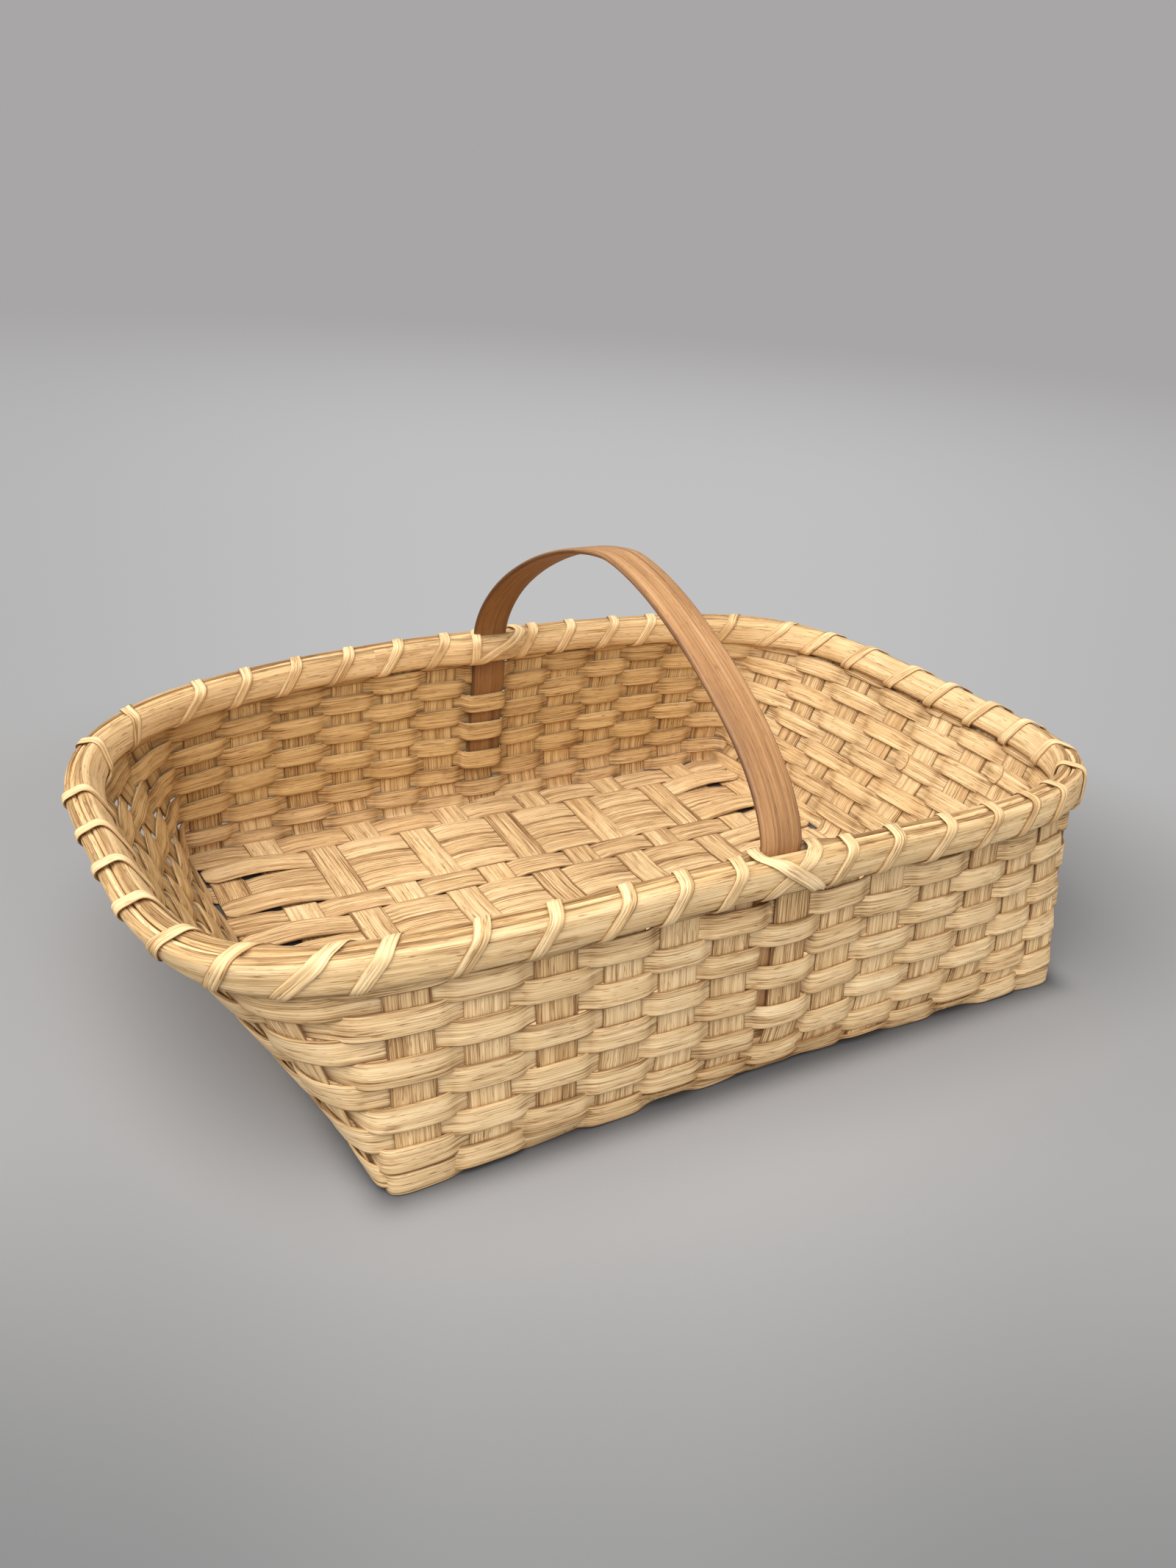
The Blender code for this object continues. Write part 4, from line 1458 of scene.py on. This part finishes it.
@dataclass
class Rows:
    """The weaver rows of flat-oval reed and the thin row that the rim grips.

    Lengths along a row count stations. The widths are shares for the near, right, far
    and left wall. The lap is lifted by a share of the reed's thickness, and both its
    layers are shaved.
    """

    skin: Skin
    finish: bpy.types.Material
    snap: float = 2.1
    leg_snap: float = 4.0
    leg_sway: float = 5.1 * MM
    leg_rows: tuple[int, ...] = (3, 5, 7)
    tilt: float = 0.9 * MM
    samples: int = 24
    easing: int = 11
    girth_wave: float = 2.5
    girth_drift: float = 0.3 * MM
    lap_rise: float = 0.4
    lap_share: float = 0.62
    wall_widths: tuple[float, float, float, float] = (1.0, 0.92, 0.95, 0.97)
    high_widths: tuple[float, float, float, float] = (1.0, 1.02, 1.02, 1.02)
    low_widths: tuple[float, float, float, float] = (1.0, 1.04, 1.09, 1.08)
    last_high_row: int = 6
    shaved_share: float = 0.62
    shaved_run: float = 0.6
    end_radius: float = 1.5 * MM
    least_end: float = 0.05
    crossing_width: float = 0.97
    width_wave: float = 2.0
    width_drift: float = 0.02
    thickness_wave: float = 1.7
    thickness_drift: float = 0.05
    ground_gap: float = 0.3 * MM
    tuck_shade_power: float = 2.5
    tone_spread: float = 0.4
    profile: Array = field(default_factory=lambda: oval(20, 9, 3.4))
    plans: tuple[RowPlan, ...] = (
        RowPlan((90.6, 90.8, 90.6, 90.8), 11.0, 1.0, 1.3, 17.0, 1.0),
        RowPlan((81.0, 83.0, 82.0, 82.4), 11.2, 1.5, 1.68, 4.1, 1.55),
        RowPlan((71.4, 74.0, 74.3, 73.0), 10.4, 1.5, 1.68, 15.1, 1.6),
        RowPlan((61.8, 65.0, 66.0, 64.0), 10.8, 1.5, 1.68, 24.9, 1.7),
        RowPlan((51.0, 56.0, 57.6, 54.5), 10.9, 1.5, 1.68, 17.2, 1.6),
        RowPlan((41.3, 47.0, 49.2, 45.0), 10.9, 1.5, 1.68, 19.1, 1.5),
        RowPlan((31.2, 38.0, 40.5, 35.5), 10.6, 1.5, 1.68, 26.2, 1.6),
        RowPlan((21.4, 29.0, 31.8, 26.0), 10.6, 1.5, 1.68, 14.1, 1.7),
        RowPlan((13.0, 20.0, 22.2, 17.0), 10.2, 1.5, 1.68, 22.2, 1.6),
        RowPlan((5.2, 11.5, 12.8, 8.5), 9.6, 1.5, 1.5, 30.9, 1.6),
        RowPlan((1.5, 3.4, 3.6, 3.4), 9.2, 1.2, 1.05, 16.2, 1.6),
    )

    def wave(self, station: Array, row: int) -> tuple[Array, Array]:
        """The row's way in and out between the stations.

        It is tanh(snap * cos(pi * station)) / tanh(snap), 1 where the row passes fully
        outside a reed and -1 inside. Behind a handle's leg it is steeper and deeper.

        Args:
            station: Stations along the row.
            row: The row's number, 0 for the thin row under the rim.

        Returns:
            The wave, and the distance from the skin.
        """
        sign = -1.0 if is_odd(row) else 1.0
        cosine = sign * np.cos(math.pi * station)
        plain = np.tanh(self.snap * cosine) / math.tanh(self.snap)
        offset = plain * self.plans[row].sway * MM
        if row in self.leg_rows:
            for handle in (NEAR_HANDLE, FAR_HANDLE):
                to_leg = np.mod(station - handle + STATIONS / 2, STATIONS) - STATIONS / 2
                near = np.abs(to_leg) < 1 / 2
                steep = np.tanh(self.leg_snap * cosine) / math.tanh(self.leg_snap)
                offset = np.where(near, steep * self.leg_sway, offset)
        return plain, offset

    def widths(self, station: Array, row: int) -> Array:
        """Widths of a row in millimetres, before its faults.

        Args:
            station: Stations along the row.
            row: The row's number.

        Returns:
            The width at each station.
        """
        more = self.high_widths if row <= self.last_high_row else self.low_widths
        walls = [share * factor for share, factor in zip(self.wall_widths, more)]
        return self.plans[row].width * round_walls(station, *walls)

    def strip(self, row: int) -> Strip:
        """One row, with its end lapped over its start.

        Args:
            row: The row's number, 0 for the thin row under the rim.

        Returns:
            The strip.
        """
        plan = self.plans[row]
        seed = Seed.ROW + row
        draw = np.random.default_rng(seed)
        length = STATIONS + plan.lap
        since = np.linspace(0, length, int(length * self.samples))
        station = plan.lap_start + since
        wave, offset = self.wave(station, row)
        girths = round_walls(station, *plan.heights) + round_table(station, SAGS) * (row > 0)
        wander = drift(station / self.girth_wave, seed + 10) * self.girth_drift
        girths = soften(girths, self.easing) * MM + wander
        here, forward, upward, outward = self.skin.frame(station, girths)
        layered = ease((since - STATIONS + self.lap_rise) / self.lap_rise)
        offset = offset + layered * plan.thickness * self.lap_share * MM
        middle = here + outward * offset[:, None]
        width = self.widths(station, row)
        lean = self.tilt / MM * (1 - wave**2) / width
        across = unit(upward - outward * lean[:, None])
        facing = unit(np.cross(forward, across))
        to_end = np.minimum(since, length - since)
        full = ease((to_end - plan.lap) / self.shaved_run)
        rounded = np.sqrt(np.clip(to_end * STAKE_PITCH / self.end_radius, self.least_end, 1))
        widths = width * MM * (self.crossing_width + (1 - self.crossing_width) * wave**2)
        widths = widths * (1 + self.width_drift * drift(station / self.width_wave, seed + 20)) * rounded
        thick = plan.thickness * MM * (self.shaved_share + (1 - self.shaved_share) * full)
        thick = thick * (1 + self.thickness_drift * drift(station / self.thickness_wave, seed + 30))
        lowest = middle[:, 2] - np.abs(across[:, 2]) * widths / 2 - np.abs(facing[:, 2]) * thick / 2
        middle[:, 2] += np.clip(self.ground_gap - lowest, 0, None)
        # Painted shade where the row dives behind a stake.
        tucked = (1 - np.abs(np.cos(math.pi * station))) ** self.tuck_shade_power
        grain = tone_and_start(draw, self.tone_spread)
        return Strip(middle, across, facing, widths, thick, self.profile, *grain, tucked)

    def build(self) -> None:
        """Make the rows from the rim down."""
        for row in range(len(self.plans)):
            name, node = f"weaver_{row:02d}", f"weaver_row_{row:02d}"
            if row == 0:
                name, node = "rim_weaver", "rim_row"
            hand_over(weave_mesh(name, [self.strip(row)]), node, self.finish)


def beside_leg(place: Array) -> Array:
    """Nearness to a handle leg: 1 beside it, falling to 0 away from it by half a cosine.

    Args:
        place: Points of the two long walls or of the end walls.

    Returns:
        The share at each point.
    """
    flat = 10 * MM
    run_out = 29 * MM
    share = np.clip((np.abs(place[:, 0] - HANDLE_X) - flat) / (run_out - flat), 0, 1)
    on_long_wall = np.abs(place[:, 1]) > BASE_HALF_WIDTH / 2
    return np.where(on_long_wall, (1 + np.cos(math.pi * share)) / 2, 0.0)


@dataclass
class Rim:
    """The two half-round strips and the filler reeds between their tops.

    Starts, laps and waves count stations.
    """

    skin: Skin
    finish: bpy.types.Material
    bottom: float = 88.0 * MM
    height: float = 15.0 * MM
    thickness: float = 4.3 * MM
    gap: float = 2.0 * MM
    lap: float = 0.02
    outer_start: float = 16.5
    inner_start: float = 30.5
    samples: int = 14
    lift_wave: float = 3.0
    lift_drift: float = 0.25 * MM
    offset_wave: float = 2.2
    offset_drift: float = 0.2 * MM
    width_wave: float = 2.5
    width_drift: float = 0.015
    thickness_wave: float = 2.1
    thickness_drift: float = 0.03
    tone_spread: float = 0.4
    filler_girth: float = 100.2 * MM
    filler_width: float = 2.6 * MM
    filler_height: float = 4.4 * MM
    filler_spread: float = 0.52
    filler_wave: float = 1.5
    filler_drift: float = 0.35 * MM
    filler_ends: tuple[float, float] = (0.3, 0.28)
    filler_samples: int = 10
    filler_tone: float = 0.2
    filler_start: float = 2.0
    profile: Array = field(default_factory=lambda: half_round(17, 3.1))
    filler_profile: Array = field(default_factory=lambda: oval(12, 2.4, 2.2))

    def strip(self, side: int, start: float, seed: int) -> Strip:
        """One of the two half-round strips.

        Args:
            side: 1 for the outer strip, -1 for the inner one.
            start: Station where it starts and ends.
            seed: Number that its small faults are drawn from.

        Returns:
            The strip.
        """
        draw = np.random.default_rng(seed)
        station = start + np.linspace(0, STATIONS + self.lap, STATIONS * self.samples)
        wander = drift(station / self.lift_wave, seed + 1) * self.lift_drift
        girth = self.bottom + self.height / 2 + rim_lift(station) + wander
        here, _, upward, outward = self.skin.frame(station, girth)
        wander = drift(station / self.offset_wave, seed + 2) * self.offset_drift
        offset = self.gap + self.thickness / 2 + wander
        if side < 0:
            offset = offset + LEG_BULGE * beside_leg(here)
        middle = here + outward * (side * offset)[:, None]
        width = self.height * (1 + self.width_drift * drift(station / self.width_wave, seed + 3))
        thick = drift(station / self.thickness_wave, seed + 4)
        thick = self.thickness * (1 + self.thickness_drift * thick)
        grain = tone_and_start(draw, self.tone_spread)
        return Strip(middle, upward, side * outward, width, thick, self.profile, *grain)

    def filler(self, side: int, seed: int) -> Strip:
        """One of the two reeds between the strips' tops.

        Args:
            side: 1 for the outer reed, -1 for the inner one.
            seed: Number that its small faults are drawn from.

        Returns:
            The strip.
        """
        first, last = self.filler_ends
        quarter = STATIONS // 4
        station = np.linspace(first, STATIONS + last, STATIONS * self.filler_samples) + quarter * side
        wander = drift(station / self.filler_wave, seed) * self.filler_drift
        here, _, upward, outward = self.skin.frame(station, self.filler_girth + rim_lift(station) + wander)
        middle = here + outward * (side * self.filler_width * self.filler_spread)
        width = np.full(len(station), self.filler_width)
        thick = np.full(len(station), self.filler_height)
        grain = (self.filler_tone * side, self.filler_start + side)
        return Strip(middle, outward, upward, width, thick, self.filler_profile, *grain)

    def build(self) -> None:
        """Make both strips and the filler."""
        outer = self.strip(1, self.outer_start, Seed.OUTER_RIM)
        inner = self.strip(-1, self.inner_start, Seed.INNER_RIM)
        filling = [self.filler(1, Seed.RIM_FILLER), self.filler(-1, Seed.RIM_FILLER + 10)]
        hand_over(weave_mesh("outer_rim", [outer]), "rim_outer", self.finish)
        hand_over(weave_mesh("inner_rim", [inner]), "rim_inner", self.finish)
        hand_over(weave_mesh("rim_filling", filling), "rim_filler", self.finish)


# The lashing's turns by the left end: how far each lies along the rim from the middle of
# its space, and how slanted it is.
LEFT_TURNS: dict[int, tuple[float, float]] = {
    35: (0.1, 1.0),
    36: (0.78, 1.1),
    37: (0.88, 1.2),
    38: (0.90, 1.25),
    39: (0.90, 1.4),
    40: (0.84, 1.6),
    41: (0.88, 1.3),
    42: (0.60, 1.0),
    43: (0.12, 0.65),
}


@dataclass
class Lashing:
    """One flat reed wound round the rim, once in every space between stakes.

    A place along it counts the turns from under the rim: 0.25 is the outer face, 0.5 the
    top and 0.75 the inner face. It crosses itself in front of each handle leg. A knot has
    its turn, its station from the middle of its space or from the leg, and in a cross the
    share of the lift by which it lies over the other way.
    """

    skin: Skin
    finish: bpy.types.Material
    width: float = 5.7 * MM
    thickness: float = 0.9 * MM
    half_depth: float = 6.9 * MM
    half_height: float = 8.4 * MM
    middle_girth: float = 95.5 * MM
    squareness: float = 3.6
    lift: float = 1.0 * MM
    samples: int = 44
    section_steps: int = 720
    easing: int = 4
    turn_step: float = 0.012
    width_drift: float = 0.05
    tone: float = 0.3
    start: float = 1.0
    turn_knots: tuple[tuple[float, float], ...] = (
        (0.06, 0.04), (0.13, 0.09), (0.37, 0.38), (0.44, 0.43),
        (0.56, 0.50), (0.63, 0.55), (0.87, 0.84), (0.94, 0.91),
    )
    cross_knots: tuple[tuple[float, float, float], ...] = (
        (0.06, -0.60, 0), (0.12, -0.66, 0), (0.5, 0.30, 0), (0.63, 0.40, 0),
        (0.87, 0.42, 0), (1.0, 0.38, 0), (1.12, 0.27, 1), (1.40, -0.485, 1),
        (1.47, -0.68, 0.6), (1.6, -0.66, 0.6), (1.87, 0.40, 1), (1.94, 0.48, 0.2),
    )
    profile: Array = field(default_factory=lambda: ridged(4, 0.28))

    def knots(self) -> Array:
        """Knots of the whole path.

        Returns:
            Turn, station and share of the lift of each knot.
        """
        found: list[tuple[float, float, float]] = []
        turn = 0.0
        for space in range(STATIONS):
            if space + 1 in (NEAR_HANDLE, FAR_HANDLE):
                for place, station, lift in self.cross_knots:
                    found.append((turn + place, space + 1 + station, lift))
                turn += 2
            else:
                moved, slant = LEFT_TURNS.get(space, (0.0, 1.0))
                for place, station in self.turn_knots:
                    found.append((turn + place, space + 1 / 2 + moved + station * slant, 0.0))
                turn += 1
        return np.array(found)

    def loop(self, turn: Array) -> tuple[Array, Array]:
        """Place round the rim's section.

        The section is a superellipse, followed by its arc from under the rim outwards.

        Args:
            turn: Turns round the rim.

        Returns:
            Offsets from the skin and girths.
        """
        angle = np.linspace(-math.pi / 2, 3 * math.pi / 2, self.section_steps + 1)
        power = 2 / self.squareness
        across = self.half_depth * np.sign(np.cos(angle)) * np.abs(np.cos(angle)) ** power
        up = self.half_height * np.sign(np.sin(angle)) * np.abs(np.sin(angle)) ** power
        arc = np.concatenate(([0.0], np.cumsum(np.hypot(np.diff(across), np.diff(up)))))
        share = np.mod(turn, 1) * arc[-1]
        return np.interp(share, arc, across), self.middle_girth + np.interp(share, arc, up)

    def place(self, turn: Array, station: Array, lift: Array) -> Array:
        """Points beside the rim: the loop's place, pushed out by the legs and by the lift.

        Args:
            turn: Turns round the rim.
            station: Stations along the rim.
            lift: Shares of the lift.

        Returns:
            One point for each turn.
        """
        offset, girth = self.loop(turn)
        here, _, upward, outward = self.skin.frame(station, girth + rim_lift(station))
        inside = np.clip(-offset / self.half_depth, 0, 1)
        bulge = LEG_BULGE * beside_leg(here) * inside
        push = lift * self.lift * offset / self.half_depth
        return here + outward * (offset - bulge + push)[:, None]

    def strip(self) -> Strip:
        """The whole lashing, each knot softened into the next.

        Returns:
            The strip.
        """
        knots = self.knots()
        turn = np.linspace(knots[0, 0], knots[-1, 0], self.samples * (STATIONS + 2))
        station, lift = (
            soften(np.interp(turn, knots[:, 0], knots[:, part]), self.easing) for part in (1, 2)
        )
        middle = self.place(turn, station, lift)
        travel = unit(np.gradient(middle, axis=0))
        after = self.place(turn + self.turn_step, station, lift)
        round_rim = after - self.place(turn - self.turn_step, station, lift)
        _, girth = self.loop(turn)
        _, forward, _, _ = self.skin.frame(station, girth)
        outward = unit(np.cross(forward, round_rim))
        across = unit(np.cross(outward, travel))
        outward = unit(np.cross(travel, across))
        width = self.width * (1 + self.width_drift * drift(turn, Seed.LASHING))
        thick = np.full(len(turn), self.thickness)
        return Strip(middle, across, outward, width, thick, self.profile, self.tone, self.start)

    def build(self) -> None:
        """Make the lashing."""
        hand_over(weave_mesh("lashing", [self.strip()]), "rim_lashing", self.finish)


@dataclass
class Handle:
    """The bent hardwood strap, its legs tucked between the stakes and the inner rows.

    A leg stands off the skin by its offset, which grows below the rim.
    """

    skin: Skin
    finish: bpy.types.Material
    width: float = 19 * MM
    thickness: float = 2.8 * MM
    top: float = 183 * MM
    fullness: float = 1.55
    tail: float = 27 * MM
    leg_offset: float = 2.35 * MM
    high_leg_offset: float = 3.9 * MM
    rise_start: float = 62 * MM
    rise_length: float = 14 * MM
    skew: float = 4 * MM
    skew_reach: float = 135 * MM
    leg_spacing: float = 1.5 * MM
    arch_steps: int = 600
    spacing: float = 1.6 * MM
    side_wave: float = 80 * MM
    side_drift: float = 0.4 * MM
    width_wave: float = 50 * MM
    width_drift: float = 0.012
    profile: Array = field(default_factory=lambda: oval(16, 9, 2.6))

    def leg(self, station: int) -> Array:
        """Points of one leg from its tail up to the rim's top.

        Args:
            station: The station that it stands at.

        Returns:
            The points.
        """
        girth = np.arange(self.tail, self.skin.height, self.leg_spacing)
        rise = ease((girth - self.rise_start) / self.rise_length)
        offset = self.leg_offset + (self.high_leg_offset - self.leg_offset) * rise
        here, _, _, outward = self.skin.frame(np.full_like(girth, station), girth)
        return here - outward * offset[:, None]

    def path(self) -> tuple[Array, Array]:
        """Middle of the strap from the near tail over the arch to the far tail.

        The arch is y = half * |cos a|^(2/f), z = spring + rise * (sin a)^(2/f). Seen
        from above the strap runs a little askew.

        Returns:
            Evenly spaced points, and the way along the strap at each of them.
        """
        near, far = self.leg(NEAR_HANDLE), self.leg(FAR_HANDLE)
        spring = near[-1]
        turn = np.linspace(0, math.pi, self.arch_steps)[1:-1]
        power = 2 / self.fullness
        reach = np.sign(np.cos(turn)) * np.abs(np.cos(turn)) ** power
        rise = self.top - self.thickness / 2 - spring[2]
        half = (far[-1][1] - near[-1][1]) / 2
        middle_y = (far[-1][1] + near[-1][1]) / 2
        height = spring[2] + rise * np.sin(turn) ** power
        arch = np.stack((np.zeros_like(turn), middle_y - half * reach, height), axis=-1)
        path = np.concatenate((near, arch, far[::-1]))
        steps = np.concatenate(([0.0], np.cumsum(np.linalg.norm(np.diff(path, axis=0), axis=1))))
        even = np.linspace(0, steps[-1], int(steps[-1] / self.spacing))
        path = np.stack([np.interp(even, steps, path[:, part]) for part in range(3)], axis=-1)
        askew = HANDLE_X + self.skew * np.clip(path[:, 1] / self.skew_reach, -1, 1)
        path[:, 0] = askew + drift(even / self.side_wave, Seed.HANDLE) * self.side_drift
        return path, even

    def strip(self) -> Strip:
        """The strap along its path, its width across and its face outwards.

        Returns:
            The strip.
        """
        path, even = self.path()
        travel = unit(np.gradient(path, axis=0))
        across = unit(np.array((1.0, 0.0, 0.0)) - travel * travel[:, :1])
        outward = unit(np.cross(across, travel))
        outward = outward * np.sign(outward[:, 2:].sum())
        width = self.width * (1 + self.width_drift * drift(even / self.width_wave, Seed.HANDLE + 10))
        thick = np.full(len(path), self.thickness)
        return Strip(path, across, outward, width, thick, self.profile)

    def build(self) -> None:
        """Make the handle."""
        hand_over(weave_mesh("bent_handle", [self.strip()]), "handle", self.finish)


@dataclass(frozen=True)
class Lamp:
    """A square soft lamp: its place, the length of its side and its power."""

    name: str
    place: tuple[float, float, float]
    size: float
    watts: float

    def build(self, target: tuple[float, float, float]) -> None:
        """Hang the lamp so that it looks at a place.

        Args:
            target: The place that it looks at.
        """
        light = bpy.data.lights.new(self.name, "AREA")
        light.shape = "SQUARE"
        light.size = self.size
        light.energy = self.watts
        lamp = bpy.data.objects.new(self.name, light)
        turn = (Vector(target) - Vector(self.place)).to_track_quat("-Z", "Y")
        lamp.matrix_world = Matrix.Translation(self.place) @ turn.to_matrix().to_4x4()
        bpy.context.scene.collection.objects.link(lamp)


@dataclass(frozen=True)
class Studio:
    """Floor, background, lamps and camera.

    The floor's colours go over into each other with the depth along the level view, and
    its sides with the share of the view's width: painted shade, darker towards the bottom
    and the sides of the view. Beyond plain_span the camera sees the floor as a plain
    colour, and beyond backdrop_span as the backdrop.
    """

    eye: tuple[float, float, float] = (-0.3020, -0.4774, 0.3289)
    yaw: float = math.radians(31.41)
    pitch: float = math.radians(24.51)
    roll: float = math.radians(3.71)
    focal_pixels: float = 1796.0
    picture_height: float = 2133.0
    sensor: float = 36.0
    clip_start: float = 0.01
    floor_radius: float = 8.0
    floor_corners: int = 96
    near_floor: Colour = srgb(143, 142, 142)
    dark_floor: Colour = srgb(114, 114, 114)
    front_floor: Colour = srgb(189, 187, 185)
    corner_floor: Colour = srgb(153, 153, 153)
    far_floor: Colour = srgb(194, 193, 193)
    backdrop: Colour = srgb(168, 166, 167)
    side_shade_tint: Colour = (0.84, 0.84, 0.84)
    # Painted contact shadow on the floor round the basket's foot.
    contact_shadow_tint: Colour = (0.30, 0.30, 0.31)
    eye_depth: float = 0.564
    side_span: tuple[float, float] = (0.10, 0.52)
    side_reach: float = 0.75
    corner_span: tuple[float, float] = (-0.36, -0.15)
    far_span: tuple[float, float] = (-0.10, 0.25)
    plain_span: tuple[float, float] = (0.29, 0.42)
    backdrop_span: tuple[float, float] = (0.9, 3.0)
    contact_shadow_x_span: tuple[float, float] = (0.162, 0.186)
    contact_shadow_y_span: tuple[float, float] = (0.136, 0.160)
    floor_roughness: float = 0.85
    floor_gloss: float = 0.2
    daylight: Colour = (1.0, 0.99, 0.975)
    daylight_strength: float = 0.52
    target: tuple[float, float, float] = (0.0, 0.0, 0.05)
    lamps: tuple[Lamp, ...] = (
        Lamp("key", (-0.80, -0.36, 1.45), 1.9, 56.0),
        Lamp("fill", (-0.2, -1.6, 0.7), 1.6, 9.5),
    )

    def add_camera(self) -> None:
        """Aim the camera: yaw from +Y to +X, pitch down, roll about the view."""
        level_ahead = Vector((math.sin(self.yaw), math.cos(self.yaw), 0.0))
        ahead = level_ahead * math.cos(self.pitch) - Vector((0.0, 0.0, math.sin(self.pitch)))
        level = Vector((math.cos(self.yaw), -math.sin(self.yaw), 0.0))
        upright = level.cross(ahead)
        right = math.cos(self.roll) * level + math.sin(self.roll) * upright
        up = -math.sin(self.roll) * level + math.cos(self.roll) * upright
        lens = bpy.data.cameras.new("camera")
        lens.sensor_width = self.sensor
        lens.lens = self.focal_pixels / self.picture_height * self.sensor
        lens.clip_start = self.clip_start
        camera = bpy.data.objects.new("camera", lens)
        turn = Matrix((right, up, -ahead)).transposed().to_4x4()
        camera.matrix_world = Matrix.Translation(self.eye) @ turn
        bpy.context.scene.collection.objects.link(camera)
        bpy.context.scene.camera = camera

    def floor_finish(self) -> bpy.types.Material:
        """Matt floor with a painted contact shadow round the basket, going over into the plain
        background away from the basket.

        Returns:
            The material.
        """
        bench = Bench("studio_floor")
        place = bench.place()
        x, y, _ = bench.split(place)
        distance = bench.node("ShaderNodeVectorMath", {"operation": "LENGTH"}, {0: place}, "Value")
        depth = bench.dot(place, (math.sin(self.yaw), math.cos(self.yaw), 0.0))
        lateral = bench.dot(place, (math.cos(self.yaw), -math.sin(self.yaw), 0.0))
        # Painted shade: the floor grows darker towards the sides and the bottom of the view.
        slope = abs(lateral * (depth + self.eye_depth) ** -1.0)
        sides = slope.over(*self.side_span) * self.side_reach
        nearness = depth.over(*self.corner_span)
        front = bench.blend(nearness, self.corner_floor, self.front_floor)
        plain = bench.blend(depth.over(*self.far_span), front, self.far_floor)
        shaded = bench.tint(plain, ((sides, self.side_shade_tint),))
        shown = bench.blend(distance.over(*self.backdrop_span), shaded, self.backdrop)
        # Painted contact shadow round the basket's foot.
        contact_shadow = (1.0 - abs(x).over(*self.contact_shadow_x_span)) * (1.0 - abs(y).over(*self.contact_shadow_y_span))
        layers = ((sides, self.side_shade_tint), (contact_shadow**2.0, self.contact_shadow_tint))
        floor = bench.tint(bench.blend(nearness, self.dark_floor, self.near_floor), layers)
        matt = bench.surface(floor, self.floor_roughness, self.floor_gloss)
        glowing = bench.node("ShaderNodeEmission", {}, {"Color": shown, "Strength": 1.0})
        seen = bench.node("ShaderNodeLightPath", {}, {}, "Is Camera Ray")
        factor = seen * distance.over(*self.plain_span)
        return bench.finish(bench.node("ShaderNodeMixShader", {}, {0: factor, 1: matt, 2: glowing}))

    def add_floor(self) -> None:
        """A round floor, its corners evenly spaced on a circle round the basket."""
        turn = np.linspace(0, 2 * math.pi, self.floor_corners, endpoint=False)
        rim = np.stack((np.cos(turn), np.sin(turn), np.zeros_like(turn)), axis=-1) * self.floor_radius
        mesh = bpy.data.meshes.new("floor")
        mesh.from_pydata(rim.tolist(), [], [list(range(len(turn)))])
        mesh.materials.append(self.floor_finish())
        floor = bpy.data.objects.new("floor", mesh)
        bpy.context.scene.collection.objects.link(floor)

    def add_world(self) -> None:
        """Even daylight from all sides, with the backdrop's colour for the camera."""
        world = bpy.data.worlds.new("studio")
        bpy.context.scene.world = world
        world.use_nodes = True
        tree = world.node_tree
        tree.nodes.clear()
        output = tree.nodes.new("ShaderNodeOutputWorld")
        light = tree.nodes.new("ShaderNodeBackground")
        light.inputs["Color"].default_value = (*self.daylight, 1.0)
        light.inputs["Strength"].default_value = self.daylight_strength
        shown = tree.nodes.new("ShaderNodeBackground")
        shown.inputs["Color"].default_value = (*self.backdrop, 1.0)
        seen = tree.nodes.new("ShaderNodeLightPath")
        mixed = tree.nodes.new("ShaderNodeMixShader")
        tree.links.new(seen.outputs["Is Camera Ray"], mixed.inputs[0])
        tree.links.new(light.outputs[0], mixed.inputs[1])
        tree.links.new(shown.outputs[0], mixed.inputs[2])
        tree.links.new(mixed.outputs[0], output.inputs["Surface"])

    def build(self) -> None:
        """Set up the whole studio."""
        self.add_camera()
        self.add_floor()
        self.add_world()
        for lamp in self.lamps:
            lamp.build(self.target)
        bpy.context.scene.view_settings.view_transform = "Standard"


WEAVER_FINISH = ReedFinish(
    name=Slot.WEAVER.value,
    dark=srgb(134, 100, 62),
    tan=srgb(198, 164, 118),
    straw=srgb(223, 192, 146),
    pale=srgb(243, 218, 176),
)
STAKE_FINISH = ReedFinish(
    name=Slot.STAKE.value,
    dark=srgb(122, 88, 54),
    tan=srgb(190, 154, 108),
    straw=srgb(219, 187, 140),
    pale=srgb(238, 211, 168),
    fibre_reach=1.5,
)
RIM_FINISH = ReedFinish(
    name=Slot.RIM.value,
    dark=srgb(132, 98, 60),
    tan=srgb(194, 160, 112),
    straw=srgb(218, 186, 139),
    pale=srgb(237, 211, 168),
    fibre_reach=1.0,
    inner_shade_tint=(0.97, 0.93, 0.88),
)
LASHING_FINISH = ReedFinish(
    name=Slot.LASHING.value,
    dark=srgb(124, 90, 54),
    tan=srgb(190, 155, 108),
    straw=srgb(220, 188, 141),
    pale=srgb(242, 218, 176),
    fibre_reach=1.2,
    inner_shade_tint=(0.97, 0.93, 0.88),
)
HANDLE_FINISH = WoodFinish(
    name=Slot.HANDLE.value,
    dark=srgb(98, 64, 36),
    brown=srgb(160, 116, 73),
    light=srgb(200, 160, 116),
)


def main() -> None:
    """Build the basket and the studio in order."""
    logging.basicConfig(level=logging.INFO, format="%(message)s")
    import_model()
    Studio().build()
    skin = Skin()
    Ribs(skin, STAKE_FINISH.build()).build()
    Rows(skin, WEAVER_FINISH.build()).build()
    Rim(skin, RIM_FINISH.build()).build()
    Lashing(skin, LASHING_FINISH.build()).build()
    Handle(skin, HANDLE_FINISH.build()).build()


if __name__ == "__main__":
    main()
